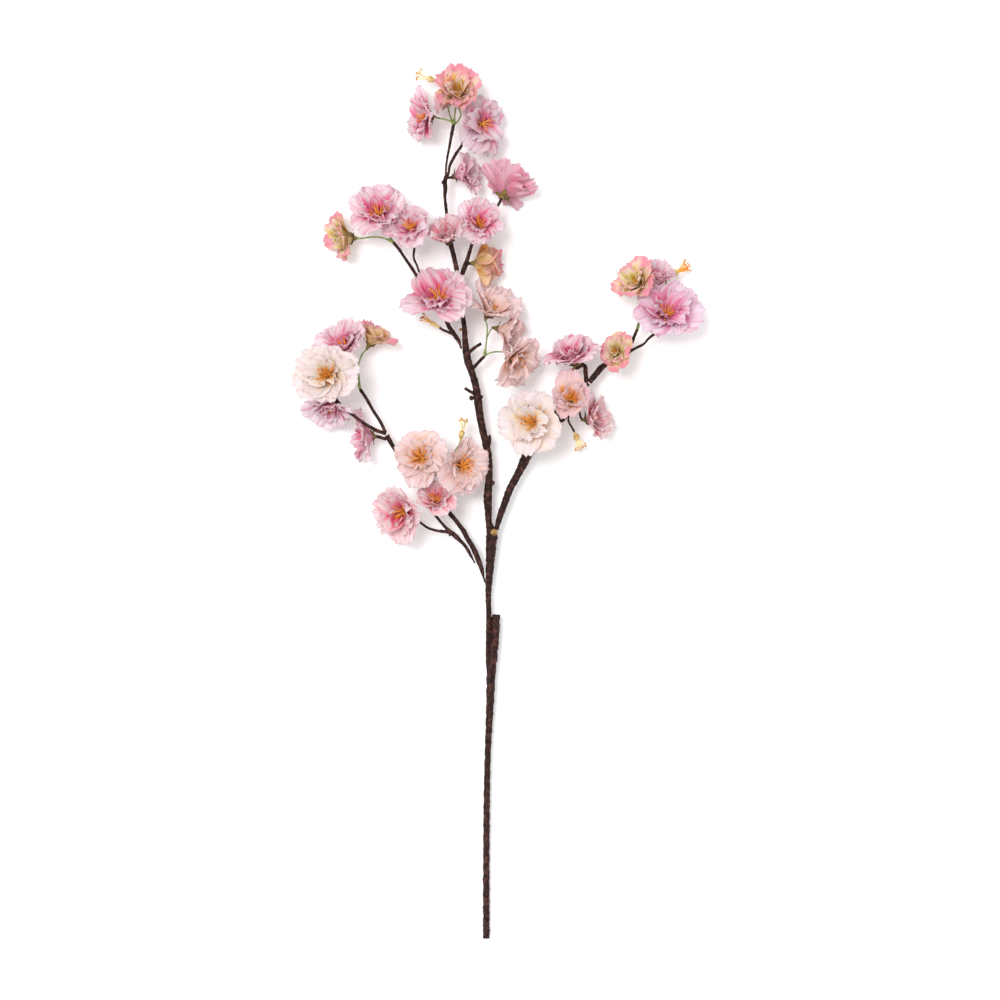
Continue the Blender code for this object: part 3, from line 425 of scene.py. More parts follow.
stamen = {"count": 18, "length": 0.46, "spread": 46.0, "radius": 0.36, "rings": 6, "sides": 5,
    "antherLength": 2.2, "antherRadius": 0.85, "antherRings": 5, "goldenTurn": 2.39996}


# The cut end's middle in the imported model, so every place below lands where the CAD has it.
def cutEndInFrame():
    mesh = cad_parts["lower_stem"].data
    points = np.empty(len(mesh.vertices) * 3)
    mesh.vertices.foreach_get("co", points)
    points = np.unique(np.round(points.reshape(-1, 3), 6), axis=0)
    ring = points[points[:, 1] < points[:, 1].min() + 0.5 * mm]
    return ring.mean(axis=0) / mm


shift = cutEndInFrame() - np.array(twigs["lower_stem"][0]["points"][0][:3])


def linear(code):
    # sRGB hex to linear: c / 12.92 below 0.04045, else ((c + 0.055) / 1.055) ^ 2.4
    channels = [int(code[i:i + 2], 16) / 255 for i in (1, 3, 5)]
    return tuple(c / 12.92 if c <= 0.04045 else ((c + 0.055) / 1.055) ** 2.4 for c in channels) + (1.0,)


def unit(v):
    return v / np.maximum(np.linalg.norm(v, axis=-1, keepdims=True), 1e-9)


# points are millimetres in the design's frame, faces hold vertex numbers
def addPiece(name, points, faces, material, nodes, place=None):
    mesh = bpy.data.meshes.new(name)
    mesh.from_pydata(((points + shift) * mm).tolist(), [], faces)
    if place is not None:
        field = mesh.attributes.new("place", "FLOAT_VECTOR", "POINT")
        field.data.foreach_set("vector", place.astype(np.float32).ravel())
    mesh.shade_smooth()
    mesh.materials.append(material)
    piece = bpy.data.objects.new(name, mesh)
    bpy.context.scene.collection.objects.link(piece)
    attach(piece, "root")
    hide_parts(*nodes)
    return piece


# Quads of a grid of rows by columns, closed round the columns where it is a tube. Rows run forward
# and columns to the left, so a face looks along row x column.
def gridFaces(rows, columns, closed, start=0):
    across = columns if closed else columns - 1
    row, column = np.meshgrid(np.arange(rows - 1), np.arange(across), indexing="ij")
    after = (column + 1) % columns
    quads = np.stack([row * columns + column, (row + 1) * columns + column,
                      (row + 1) * columns + after, row * columns + after], axis=-1)
    return quads.reshape(-1, 4) + start


# A path through the given points: on each span a cubic a + b t + c t^2 + d t^3 whose slopes at its
# ends are the mean slopes of the chords round them, read every step millimetres.
def smoothPath(points, step):
    points = np.array(points, float)
    if len(points) == 2:
        count = max(2, int(np.linalg.norm(points[1, :3] - points[0, :3]) / step) + 1)
        return points[0] + np.linspace(0, 1, count)[:, None] * (points[1] - points[0])
    chord = np.linalg.norm(np.diff(points[:, :3], axis=0), axis=1)
    along = np.concatenate([[0], np.cumsum(chord)])
    slope = np.gradient(points, along, axis=0)
    read = np.linspace(0, along[-1], max(4, int(along[-1] / step) + 1))
    span = np.clip(np.searchsorted(along, read, side="right") - 1, 0, len(chord) - 1)
    t = ((read - along[span]) / chord[span])[:, None]
    width = chord[span][:, None]
    return ((2 * t**3 - 3 * t**2 + 1) * points[span] + (t**3 - 2 * t**2 + t) * width * slope[span]
            + (3 * t**2 - 2 * t**3) * points[span + 1] + (t**3 - t**2) * width * slope[span + 1])


# Rings round paths: centre + radius (cos a e1 + sin a e2), with e1 and e2 square to the path.
# paths is (tubes, rings, 3) and radii (tubes, rings) or (tubes, rings, sides).
def tubePoints(paths, radii, sides, reference=(0.0, 0.0, 1.0)):
    ahead = unit(np.gradient(paths, axis=1))
    reference = np.broadcast_to(np.array(reference, float), ahead.shape)
    first = unit(reference - ahead * (reference * ahead).sum(-1, keepdims=True))
    second = np.cross(ahead, first)
    angle = np.arange(sides) * fullTurn / sides
    if radii.ndim == 2:
        radii = radii[..., None]
    circle = np.cos(angle)[:, None] * first[:, :, None] + np.sin(angle)[:, None] * second[:, :, None]
    return paths[:, :, None] + radii[..., None] * circle


def tubeFaces(tubes, rings, sides, start=0):
    faces = []
    ends = np.arange(sides)
    for tube in range(tubes):
        low = start + tube * rings * sides
        faces += gridFaces(rings, sides, True, low)[:, ::-1].tolist()
        faces += [(low + ends).tolist()[::-1], (low + (rings - 1) * sides + ends).tolist()]
    return faces


def facing(blossom):
    # out is the way a blossom faces, across is level and square to it, down completes the three
    heading, lift = math.radians(blossom["heading"]), math.radians(blossom["lift"])
    plan = np.array([math.cos(heading), math.sin(heading), 0.0])
    out = plan * math.cos(lift) + np.array([0, 0, math.sin(lift)])
    across = np.array([plan[1], -plan[0], 0.0])
    return across, np.cross(out, across), out


def newMaterial(name):
    material = bpy.data.materials.new(name)
    material.use_nodes = True
    tree = material.node_tree
    return material, tree, tree.nodes["Principled BSDF"]


# Adds one node: settings are its own fields, values and links go to its sockets by name or number.
# A link that is given as a node starts at that node's first output.
def addNode(tree, kind, settings=None, values=None, links=None):
    node = tree.nodes.new("ShaderNode" + kind)
    for field, value in (settings or {}).items():
        setattr(node, field, value)
    for socket, value in (values or {}).items():
        node.inputs[socket].default_value = value
    for socket, source in (links or {}).items():
        tree.links.new(getattr(source, "outputs", [source])[0], node.inputs[socket])
    return node


# Stops of a colour ramp: pairs of a place from 0 to 1 and a colour.
def setStops(ramp, stops):
    elements = ramp.color_ramp.elements
    elements.remove(elements[-1])
    for number, (at, code) in enumerate(stops):
        stop = elements.new(at) if number else elements[0]
        stop.position = at
        stop.color = linear(code)


# Sets how strongly, and how many millimetres deep, a pattern's height bends the light.
def addBump(tree, height, strength, depth, under=None):
    links = {"Height": height} if under is None else {"Height": height, "Normal": under}
    return addNode(tree, "Bump", None, {"Strength": strength, "Distance": depth * mm}, links).outputs[0]


# Patches, pleats and threads say how many fit across half a petal, how many along it, and how far
# one petal's pattern is from the next one's. Crinkles are per metre.
dye = {
    "patches": (2.4, 1.4, 31.0), "bleed": 1.4, "bleedFrom": -0.72,     # 6 by 21 mm
    "petalBleed": 0.26, "petalFrom": -0.08,                            # how much petals differ
    "edge": 0.3, "edgePower": 4.0, "back": 0.55,
    "pleats": (9.0, 0.9, 17.0), "pleatDepth": 0.9,                     # 1.6 by 33 mm
    # deeper pink in the pleat grooves, and the pleat heights where it starts and ends: partly dye streaks,
    # partly painted shade
    "pleatTintAndShadeAmount": 0.55, "pleatStart": 0.46, "pleatEnd": 0.28,
    "crinkles": 420.0, "crinkleDepth": 0.6,                            # 2.4 mm
    "threads": (14.0, 30.0, 0.0), "threadDepth": 0.1,                  # 1 mm, coarsened from 0.25 mm
    "glowGamma": 1.65, "glow": 0.48,
}


# Woven polyester, dyed and pressed: matt, lets some light through, darker and redder at the heart, and
# the dye runs out along the petal in soft patches. The pleat grooves get a deeper pink: partly dye streaks,
# partly painted shade.
def printedPolyester(name, look):
    material, tree, shader = newMaterial(name)
    place = addNode(tree, "Attribute", {"attribute_name": "place"}).outputs["Vector"]
    across, along, petal = addNode(tree, "SeparateXYZ", links={0: place}).outputs
    patchAt = addNode(tree, "VectorMath", {"operation": "MULTIPLY"}, {1: dye["patches"]}, {0: place})
    patches = addNode(tree, "TexNoise", None, {"Scale": 1.0, "Detail": 3.0}, {0: patchAt})
    bled = addNode(tree, "Math", {"operation": "MULTIPLY_ADD"}, {1: dye["bleed"], 2: dye["bleedFrom"]},
                   {0: patches})
    seed = addNode(tree, "Math", {"operation": "FRACT"}, None, {0: petal})
    own = addNode(tree, "Math", {"operation": "MULTIPLY_ADD"}, {1: dye["petalBleed"], 2: dye["petalFrom"]},
                  {0: seed})
    patched = addNode(tree, "Math", {"operation": "ADD"}, None, {0: along, 1: bled})
    reach = addNode(tree, "Math", {"operation": "ADD"}, None, {0: patched, 1: own})
    ramp = addNode(tree, "ValToRGB", links={0: reach})
    parts = [look[part] for part in ("heart", "throat", "body", "pale", "rim")]
    setStops(ramp, list(zip(look.get("stops", dyeStops), parts)))
    outwards = addNode(tree, "Math", {"operation": "ABSOLUTE"}, None, {0: across})
    side = addNode(tree, "Math", {"operation": "POWER"}, {1: dye["edgePower"]}, {0: outwards})
    edge = addNode(tree, "Math", {"operation": "MULTIPLY"}, {1: dye["edge"]}, {0: side})
    edged = addNode(tree, "Mix", {"data_type": "RGBA"}, {7: linear(look["rim"])},
                    {0: edge, 6: ramp})
    behind = addNode(tree, "Math", {"operation": "GREATER_THAN"}, {1: 1.5}, {0: petal})
    backing = addNode(tree, "Math", {"operation": "MULTIPLY"}, {1: dye["back"]}, {0: behind})
    both = addNode(tree, "Mix", {"data_type": "RGBA"}, {7: linear(look["back"])},
                   {0: backing, 6: edged.outputs[2]})
    pleatAt = addNode(tree, "VectorMath", {"operation": "MULTIPLY"}, {1: dye["pleats"]}, {0: place})
    pleats = addNode(tree, "TexNoise", None, {"Scale": 1.0, "Detail": 2.0}, {0: pleatAt})
    # painted shade: where the pleat noise is low, in the grooves of the pleat bump, the colour turns a deeper
    # pink; this is partly dye streaks too
    pleatTintAndShadeRange = {1: dye["pleatStart"], 2: dye["pleatEnd"], 3: 0.0, 4: dye["pleatTintAndShadeAmount"]}
    pleatTintAndShadeMask = addNode(tree, "MapRange", None, pleatTintAndShadeRange, {0: pleats})
    printedAndShaded = addNode(tree, "Mix", {"data_type": "RGBA"}, {7: linear(look["pleatTintAndShade"])},
                   {0: pleatTintAndShadeMask, 6: both.outputs[2]})
    tree.links.new(printedAndShaded.outputs[2], shader.inputs["Base Color"])
    shader.inputs["Roughness"].default_value = 0.78
    shader.inputs["IOR"].default_value = 1.46
    shader.inputs["Sheen Weight"].default_value = 0.25
    inMetres = addNode(tree, "TexCoord").outputs["Object"]
    crinkles = addNode(tree, "TexNoise", None, {"Scale": dye["crinkles"], "Detail": 3.0, "Distortion": 0.6},
                       {0: inMetres})
    threadAt = addNode(tree, "VectorMath", {"operation": "MULTIPLY"}, {1: dye["threads"]}, {0: place})
    weave = addNode(tree, "TexChecker", None, {"Scale": 1.0}, {0: threadAt})
    pleated = addBump(tree, pleats, 0.5, dye["pleatDepth"])
    crinkled = addBump(tree, crinkles, 0.35, dye["crinkleDepth"], pleated)
    woven = addBump(tree, weave.outputs[1], 0.12, dye["threadDepth"], crinkled)
    tree.links.new(woven, shader.inputs["Normal"])
    lit = addNode(tree, "Gamma", None, {"Gamma": dye["glowGamma"]}, {"Color": printedAndShaded.outputs[2]})
    glow = addNode(tree, "BsdfTranslucent", None, None, {"Color": lit})
    thin = addNode(tree, "MixShader", None, {0: dye["glow"]}, {1: shader, 2: glow})
    tree.links.new(thin.outputs[0], tree.nodes["Material Output"].inputs["Surface"])
    return material


# Moulded polyethylene, painted like bark: dull dark red-brown in 5 mm blotches, and 1 mm grit on it
# that is pale where it stands proud, partly rubbed paint and partly painted highlight.
def paintedBark():
    material, tree, shader = newMaterial("painted_polyethylene_bark")
    place = addNode(tree, "TexCoord").outputs["Object"]
    blotches = addNode(tree, "TexNoise", None, {"Scale": 210.0, "Detail": 5.0, "Roughness": 0.65}, {0: place})
    tone = addNode(tree, "ValToRGB", links={0: blotches})
    setStops(tone, [(0.38, "#120708"), (0.52, "#28120F"), (0.66, "#5A352B")])
    grit = addNode(tree, "TexNoise", None, {"Scale": 1100.0, "Detail": 2.0}, {0: place})
    # pale specks on the grit peaks: partly rubbed paint, partly painted highlight
    rubbedAndHighlit = addNode(tree, "ValToRGB", links={0: grit})
    setStops(rubbedAndHighlit, [(0.58, "#000000"), (0.68, "#FFFFFF")])
    rubbedAndHighlit.color_ramp.elements[1].color = (0.55, 0.55, 0.55, 1)     # how pale the specks get: partly rubbed paint, partly painted highlight
    colour = addNode(tree, "Mix", {"data_type": "RGBA"}, {7: linear("#7E5F55")},
                     {0: rubbedAndHighlit, 6: tone})
    tree.links.new(colour.outputs[2], shader.inputs["Base Color"])
    shader.inputs["Roughness"].default_value = 0.6
    shader.inputs["IOR"].default_value = 1.5
    shader.inputs["Specular IOR Level"].default_value = 0.15
    ridges = addBump(tree, blotches, 0.8, 0.7)
    pits = addBump(tree, grit, 0.6, 0.35, ridges)
    tree.links.new(pits, shader.inputs["Normal"])
    return material


# Moulded polyethylene left in its own colour, with a brownish wash: soft gloss, 4 mm mottling.
def mouldedPolyethylene(name, dark, light, roughness=0.45):
    material, tree, shader = newMaterial("moulded_polyethylene_" + name)
    place = addNode(tree, "TexCoord").outputs["Object"]
    mottle = addNode(tree, "TexNoise", None, {"Scale": 240.0, "Detail": 3.0}, {0: place})
    wash = addNode(tree, "ValToRGB", links={0: mottle})
    setStops(wash, [(0.36, dark), (0.64, light)])
    tree.links.new(wash.outputs[0], shader.inputs["Base Color"])
    shader.inputs["Roughness"].default_value = roughness
    shader.inputs["IOR"].default_value = 1.5
    tree.links.new(addBump(tree, mottle.outputs[0], 0.3, 0.2), shader.inputs["Normal"])
    return material


# Stiffened thread dipped in coloured wax: pale shaft, glossy darker tip.
def dippedThread(name, foot, shaft, tip):
    material, tree, shader = newMaterial("dipped_thread_" + name)
    place = addNode(tree, "Attribute", {"attribute_name": "place"}).outputs["Vector"]
    along = addNode(tree, "SeparateXYZ", links={0: place}).outputs[1]
    ramp = addNode(tree, "ValToRGB", links={0: along})
    setStops(ramp, [(0.0, foot), (0.4, shaft), (0.86, shaft), (1.0, tip)])
    tree.links.new(ramp.outputs[0], shader.inputs["Base Color"])
    shader.inputs["Roughness"].default_value = 0.5
    shader.inputs["IOR"].default_value = 1.44
    return material


petalCloth = {name: printedPolyester("printed_polyester_" + name, look) for name, look in looks.items()}
barkPaint = paintedBark()
greenStalk = mouldedPolyethylene("green", "#5E6E2C", "#8CA05A")
calyxOlive = mouldedPolyethylene("calyx", "#54401A", "#857032", 0.55)
budAmber = mouldedPolyethylene("bud", "#6B4A22", "#A9834A", 0.4)
tuftHusk = mouldedPolyethylene("tuft", "#B7923C", "#DCC68A", 0.5)
threads = {
    "amber": dippedThread("amber", "#F8CF8A", "#F6B04C", "#E27A14"),
    "cream": dippedThread("cream", "#C9B25A", "#F6ECC4", "#D08A26"),
    "rust": dippedThread("rust", "#C79A50", "#E8B86A", "#B8541A"),
}
print("materials:", len(bpy.data.materials))


# The turn round a blossom's axis at which a petal points a given way in plan. Of a fine ring of turns
# it is the one with the least gap to that way - 0.3 (length of its tip in plan).
def turnInPlan(blossom, ways):
    across, down, out = facing(blossom)
    ring = np.linspace(0, fullTurn, 721)[:-1]
    cup = math.radians(blossom["cup"])
    outward = np.cos(ring)[:, None] * across + np.sin(ring)[:, None] * down
    tip = math.cos(cup) * outward + math.sin(cup) * out
    gap = np.arctan2(tip[:, 1], tip[:, 0])[None] - np.radians(ways)[:, None]
    gap = np.angle(np.exp(1j * gap))
    return ring[np.argmin(np.abs(gap) - 0.3 * np.hypot(tip[:, 0], tip[:, 1])[None], axis=1)]


# One random number from -size to size for each petal.
def spread(count, size):
    return (random.random(count)[:, None, None] * 2 - 1) * size


# Waves over a petal: the sum of height v^power sin(pitch u + phase + drift v).
def waves(kinds, u, v, phases):
    return sum(height * v**power * np.sin(pitch * u + phase + drift * v)
               for (height, power, pitch, drift), phase in zip(kinds, phases))


# Petals of one layer. For petal k, row v (0 foot to 1 rim) and column u (-1 to 1):
#   share  = v (1 + (rim - 1) v^2), rim = 1 - rounded |u|^3 - notch exp(-(u / notchWidth)^2) + fray teeth / 2
#   beside = width u (foot + (1 - foot) sin(90 min(1, v / widest))) (1 - narrowed v^5)
# the middle line climbs at an angle = cup + rise + bend / 2 - bend share, so
#   run    = footRadius + length (sin start - sin angle) / bend, climb = length (cos angle - cos start) / bend
#   off    = beside^2 sin angle / (2 run + 3) + overlap beside + size (ripple ripples + frill v^4 frills)
# and the point is calyx + run outward + climb out + beside sideways + off square to the middle line.
# A sepal is pointed instead: share = v (1 - 0.1 u^2), beside = width u sin(180 (0.16 + 0.83 v))^0.8.
def petalGrid(blossom, layer):
    across, down, out = facing(blossom)
    own = np.array(blossom["petals"], float) if layer is layers["outer"] and "petals" in blossom else None
    size = blossom["petal"] * blossom.get("trim", 1.0)
    count, rows, columns = layer["petals"] if own is None else len(own), layer["rows"], layer["columns"]
    phase = random.random((6, count, 1, 1)) * fullTurn
    v = np.linspace(0, 1, rows)[None, :, None] ** 0.9
    u = np.linspace(-1, 1, columns)[None, None, :]
    turn = (np.arange(count) * fullTurn / count)[:, None, None]
    turn = turn + np.radians(layer["turn"] + spread(count, cloth["jitterTurn"]))
    length = size * layer["length"] * (1 + spread(count, cloth["jitterLength"]))
    width = size * layer["width"] * (1 + spread(count, cloth["jitterLength"]))
    rise = blossom["cup"] + layer["rise"] + spread(count, cloth["jitterRise"])
    if own is not None:
        turn = turnInPlan(blossom, own[:, 0])[:, None, None]
        length = size * own[:, 1][:, None, None]
        width = size * layer["width"] * own[:, 2][:, None, None]
        rise = blossom["cup"] + own[:, 3][:, None, None]
    if layer is sepal:
        shape = np.sin(math.pi * (0.16 + 0.83 * v)) ** 0.8
        share = v * (1 - 0.1 * u**2)
    else:
        shape = cloth["foot"] + (1 - cloth["foot"]) * np.sin(math.pi / 2 * np.minimum(1, v / cloth["widest"]))
        shape = shape * (1 - cloth["narrowed"] * v**5)
        notch = layer["notch"] * np.exp(-((u / cloth["notchWidth"]) ** 2))
        teeth = waves(cloth["teeth"], u, v, phase)
        rim = 1 - cloth["rounded"] * np.abs(u) ** 3 - notch + layer["fray"] * teeth / 2
        share = v * (1 + (rim - 1) * v**2)
    beside = width * u * shape
    start = np.radians(np.minimum(rise, cloth["steepest"]) + layer["bend"] / 2)
    bend = math.radians(layer["bend"])
    angle = start - bend * share
    run = cloth["footRadius"] + length * (np.sin(start) - np.sin(angle)) / bend
    climb = length * (np.cos(angle) - np.cos(start)) / bend
    ripple = layer["ripple"] * waves(cloth["ripples"], u, v, phase[3:])
    frill = layer["frill"] * (v**4 * waves(cloth["frills"], u, v, phase))
    off = beside**2 * np.sin(angle) / (2 * run + 3) + cloth["overlap"] * beside
    off = off + size * (ripple + frill)
    outward = np.cos(turn)[..., None] * across + np.sin(turn)[..., None] * down
    sideways = -np.sin(turn)[..., None] * across + np.cos(turn)[..., None] * down
    square = np.cos(angle)[..., None] * out - np.sin(angle)[..., None] * outward
    points = (np.array(blossom["calyx"]) + run[..., None] * outward + climb[..., None] * out
              + beside[..., None] * sideways + off[..., None] * square)
    petalNumber = np.broadcast_to(random.random(count)[:, None, None] * 0.98, points.shape[:3])
    place = np.stack([np.broadcast_to(u, points.shape[:3]),
                      np.broadcast_to(share * layer["length"], points.shape[:3]), petalNumber], axis=-1)
    return points, place


# Both faces of the cloth: the grid, and the grid moved back along its normal, joined all round.
def clothShell(points, place):
    ahead = np.gradient(points, axis=1)
    beside = np.gradient(points, axis=2)
    normal = unit(np.cross(ahead, beside))
    back = points - cloth["thickness"] * normal
    count, rows, columns = points.shape[:3]
    front = gridFaces(rows, columns, False)
    behind = rows * columns
    row, column = np.arange(rows - 1), np.arange(columns - 1)
    left, right = row * columns, row * columns + columns - 1
    foot, rim = column, column + (rows - 1) * columns
    sides = np.concatenate([
        np.stack([left, left + behind, left + behind + columns, left + columns], axis=1),
        np.stack([right, right + columns, right + behind + columns, right + behind], axis=1),
        np.stack([foot, foot + 1, foot + 1 + behind, foot + behind], axis=1),
        np.stack([rim, rim + behind, rim + 1 + behind, rim + 1], axis=1),
    ])
    one = np.concatenate([front, front[:, ::-1] + behind, sides])
    faces = (one[None] + (np.arange(count) * 2 * behind)[:, None, None]).reshape(-1, 4)
    both = np.stack([points, back], axis=1).reshape(-1, 3)
    places = np.stack([place, place + (0, 0, 2)], axis=1).reshape(-1, 3)
    return both, faces.tolist(), places


# Heights flattened towards the calyx: z = calyx + flat (z - calyx).
def flattened(points, blossom):
    middle = blossom["calyx"][2]
    return middle + blossom.get("flat", 1.0) * (points[..., 2] - middle)


# A blossom that would reach below the table is squeezed up: heights from its lowest point to the
# calyx are mapped onto those from clear to the calyx.
def pressed(points, blossom, low):
    middle, floor = blossom["calyx"][2], cloth["clear"]
    z = flattened(points, blossom)
    if low < floor:
        z = np.where(z < middle, floor + (z - low) * (middle - floor) / (middle - low), z)
    return np.concatenate([points[..., :2], z[..., None]], axis=-1)


def buildBlossom(name, blossom):
    look = blossom["look"]
    grids = {layerName: petalGrid(blossom, layer) for layerName, layer in layers.items()}
    low = min(flattened(points, blossom).min() for points, _ in grids.values()) - cloth["thickness"]
    for layerName, (points, place) in grids.items():
        points, faces, places = clothShell(points, place)
        points = pressed(points, blossom, low)
        addPiece(f"{name}_{layerName}_petals", points, faces, petalCloth[look],
                 [name], places)
    buildCalyx(name, blossom, low)
    buildStamens(name, blossom, low)


# A turned cup behind the petals, with five pointed sepals.
def buildCalyx(name, blossom, low):
    _, _, out = facing(blossom)
    path = np.array(blossom["calyx"]) + np.array(calyxCup["reach"])[:, None] * out
    cup = tubePoints(path[None], np.array(calyxCup["radius"])[None], calyxCup["sides"])
    faces = tubeFaces(1, len(path), calyxCup["sides"])
    cup = cup.reshape(-1, 3)
    points, sepalFaces, _ = clothShell(*petalGrid(blossom, sepal))
    points = pressed(points, blossom, low)
    points = points - cloth["sepalsBehind"] * out
    faces += (np.array(sepalFaces) + len(cup)).tolist()
    points = np.concatenate([cup, points])
    points[:, 2] = np.maximum(points[:, 2], cloth["clear"])
    addPiece(name + "_calyx", points, faces, calyxOlive, [name])


# Threads that leave the heart together and lean out: base + length (t cos lean along + t^1.5 sin lean
# aside) + a small bow 0.06 length sin(pi t), each with a waxed egg of radius sin(pi s)^0.6 on its end.
def threadBundle(base, along, aside, up, count, length, lean, radius, tipSpread=0.25):
    rings, sides = stamen["rings"], stamen["sides"]
    t = np.linspace(0, 1, rings)[None, :, None]
    turn = (np.arange(count) + random.random(count) * 0.7) * stamen["goldenTurn"]
    tilt = np.radians(lean) * np.sqrt((np.arange(count) + 0.5) / count)
    size = length * (1 - tipSpread * random.random(count))
    way = np.cos(turn)[:, None] * aside + np.sin(turn)[:, None] * up
    path = (base + size[:, None, None] * (t * np.cos(tilt)[:, None, None] * along
            + t**1.5 * np.sin(tilt)[:, None, None] * way[:, None]))
    path = path + 0.06 * length * np.sin(math.pi * t) * (random.random((count, 1, 3)) - 0.5)
    shafts = tubePoints(path, np.full((count, rings), radius), sides, aside)
    shaftFaces = tubeFaces(count, rings, sides)
    end = path[:, -1]
    tipWay = unit(path[:, -1] - path[:, -2])
    s = np.linspace(0.02, 0.98, stamen["antherRings"])
    tipPath = end[:, None] + ((s - 0.3) * stamen["antherLength"])[None, :, None] * tipWay[:, None]
    tipRadii = np.broadcast_to(stamen["antherRadius"] * np.sin(math.pi * s) ** 0.6, (count, len(s)))
    tips = tubePoints(tipPath, tipRadii, sides, aside)
    tipFaces = tubeFaces(count, len(s), sides, shafts.size // 3)
    points = np.concatenate([shafts.reshape(-1, 3), tips.reshape(-1, 3)])
    shaftPlace = np.broadcast_to((t * 0.85)[..., None], (count, rings, sides, 1)).reshape(-1)
    height = np.concatenate([shaftPlace, np.ones(tips.size // 3)])
    place = np.stack([np.zeros_like(height), height, np.zeros_like(height)], axis=1)
    return points, shaftFaces + tipFaces, place


def buildStamens(name, blossom, low):
    across, down, out = facing(blossom)
    base = np.array(blossom["calyx"]) + 1.0 * out
    count, length = blossom.get("stamens", stamen["count"]), blossom["petal"] * stamen["length"]
    points, faces, place = threadBundle(base, out, across, down, count, length, stamen["spread"],
                                        stamen["radius"])
    points = pressed(points, blossom, low)
    addPiece(name + "_stamens", points, faces, threads["amber"], [name], place)


# The end of a route that leads to a blossom or a tuft: a cubic curve from the route's last point,
# along its last chord, to just behind the calyx, arriving square to the blossom.
def withEnd(route):
    points = [tuple(map(float, point)) for point in route["points"]]
    if "endsAt" not in route:
        return points
    target = route["endsAt"]
    start, radius = np.array(points[-1][:3]), points[-1][3]
    if target in tufts:
        goal = np.array(tufts[target]["foot"])
        arrive = unit(np.array(tufts[target]["tip"]) - goal)
    else:
        arrive = facing(blossoms[target])[2]
        goal = np.array(blossoms[target]["calyx"]) - stalk["intoCalyx"] * arrive
    ahead = unit(goal - start if len(points) == 1 else start - np.array(points[-2][:3]))
    pull = 0.4 * np.linalg.norm(goal - start)
    first, second = start + pull * ahead, goal - pull * arrive
    for t in (0.25, 0.5, 0.75, 1.0):
        s = 1 - t
        place = s**3 * start + 3 * s * s * t * first + 3 * s * t * t * second + t**3 * goal
        points.append((*place, radius))
    return points


# A twig's first route is run back into the socket it is pushed into.
def pluggedIn(points):
    first, second = np.array(points[0]), np.array(points[1])
    back = first[:3] - bark["plug"] * unit(second[:3] - first[:3])
    return [(*back, points[0][3])] + points


# A knobbly tube: radius (1 + lumps sum of waves) + scars, each a hump exp(-((along - spot) / length)^2)
# that is lowest on its far side. The first is 8 to 18 mm up, and each moves by up to 5 mm.
def barkTube(points):
    path = smoothPath(points, bark["step"])
    sides = bark["sides"]
    angle = np.arange(sides)[None, :] * fullTurn / sides
    along = np.concatenate([[0], np.cumsum(np.linalg.norm(np.diff(path[:, :3], axis=0), axis=1))])[:, None]
    phase = random.random(5) * fullTurn
    lumps = np.sin(bark["bow"] * along + phase[0]) * np.cos(angle + phase[1])
    for (height, pitch, turns), start in zip(bark["knobs"], phase[2:]):
        lumps = lumps + height * np.sin(pitch * along + turns * angle + start)
    radius = path[:, 3][:, None]
    shape = radius * (1 + bark["lumps"] * lumps)
    if radius.max() > bark["thick"] * 0.7:
        spots = np.arange(8 + 10 * random.random(), along[-1, 0] - 4, bark["scarEvery"] * 0.6)
        for spot in spots + (random.random(len(spots)) - 0.5) * 10:
            hump = np.exp(-(((along - spot) / bark["scarLength"]) ** 2))
            facingHump = 0.3 + 0.7 * np.maximum(0, np.cos(angle - random.random() * fullTurn))
            shape = shape + bark["scarHeight"] * (0.4 + 0.2 * radius) * hump * facingHump
    return tubePoints(path[None, :, :3], shape[None], sides).reshape(-1, 3), tubeFaces(1, len(path), sides)


# A smooth tube. At a ferrule its radius swells to that of the sleeve by (1 - along / length)^0.6.
def stalkTube(points, ferrule):
    path = smoothPath(points, stalk["step"])
    along = np.concatenate([[0], np.cumsum(np.linalg.norm(np.diff(path[:, :3], axis=0), axis=1))])
    radius = path[:, 3]
    if ferrule:
        sleeve = np.clip(1 - along / stalk["ferruleLength"], 0, 1) ** 0.6
        radius = radius + (stalk["ferruleRadius"] - radius) * sleeve
    sides = stalk["sides"]
    return tubePoints(path[None, :, :3], radius[None], sides).reshape(-1, 3), tubeFaces(1, len(path), sides)


# Several shells as one list of points and faces.
def joined(shells):
    points, faces, start = [], [], 0
    for shellPoints, shellFaces in shells:
        points.append(shellPoints)
        faces += [[corner + start for corner in face] for face in shellFaces]
        start += len(shellPoints)
    return np.concatenate(points), faces


# A bud is an egg: rings of radius r sin(pi s)^0.7 along its own axis, with three shallow dents round.
def budShell(bud):
    s = np.linspace(0.03, 0.97, budEgg["rings"])
    way = unit(np.array(bud["toward"], float))
    path = np.array(bud["at"]) + ((s - 0.5) * budEgg["long"] * bud["radius"])[:, None] * way
    angle = np.arange(budEgg["sides"]) * fullTurn / budEgg["sides"]
    radii = bud["radius"] * np.sin(math.pi * s)[:, None] ** 0.7
    radii = radii * (1 + budEgg["dents"] * np.sin(3 * angle + 5 * s[:, None]))
    reference = (0, 0, 1) if abs(way[2]) < 0.8 else (1, 0, 0)
    points = tubePoints(path[None], radii[None], budEgg["sides"], reference)
    return points.reshape(-1, 3), tubeFaces(1, budEgg["rings"], budEgg["sides"])


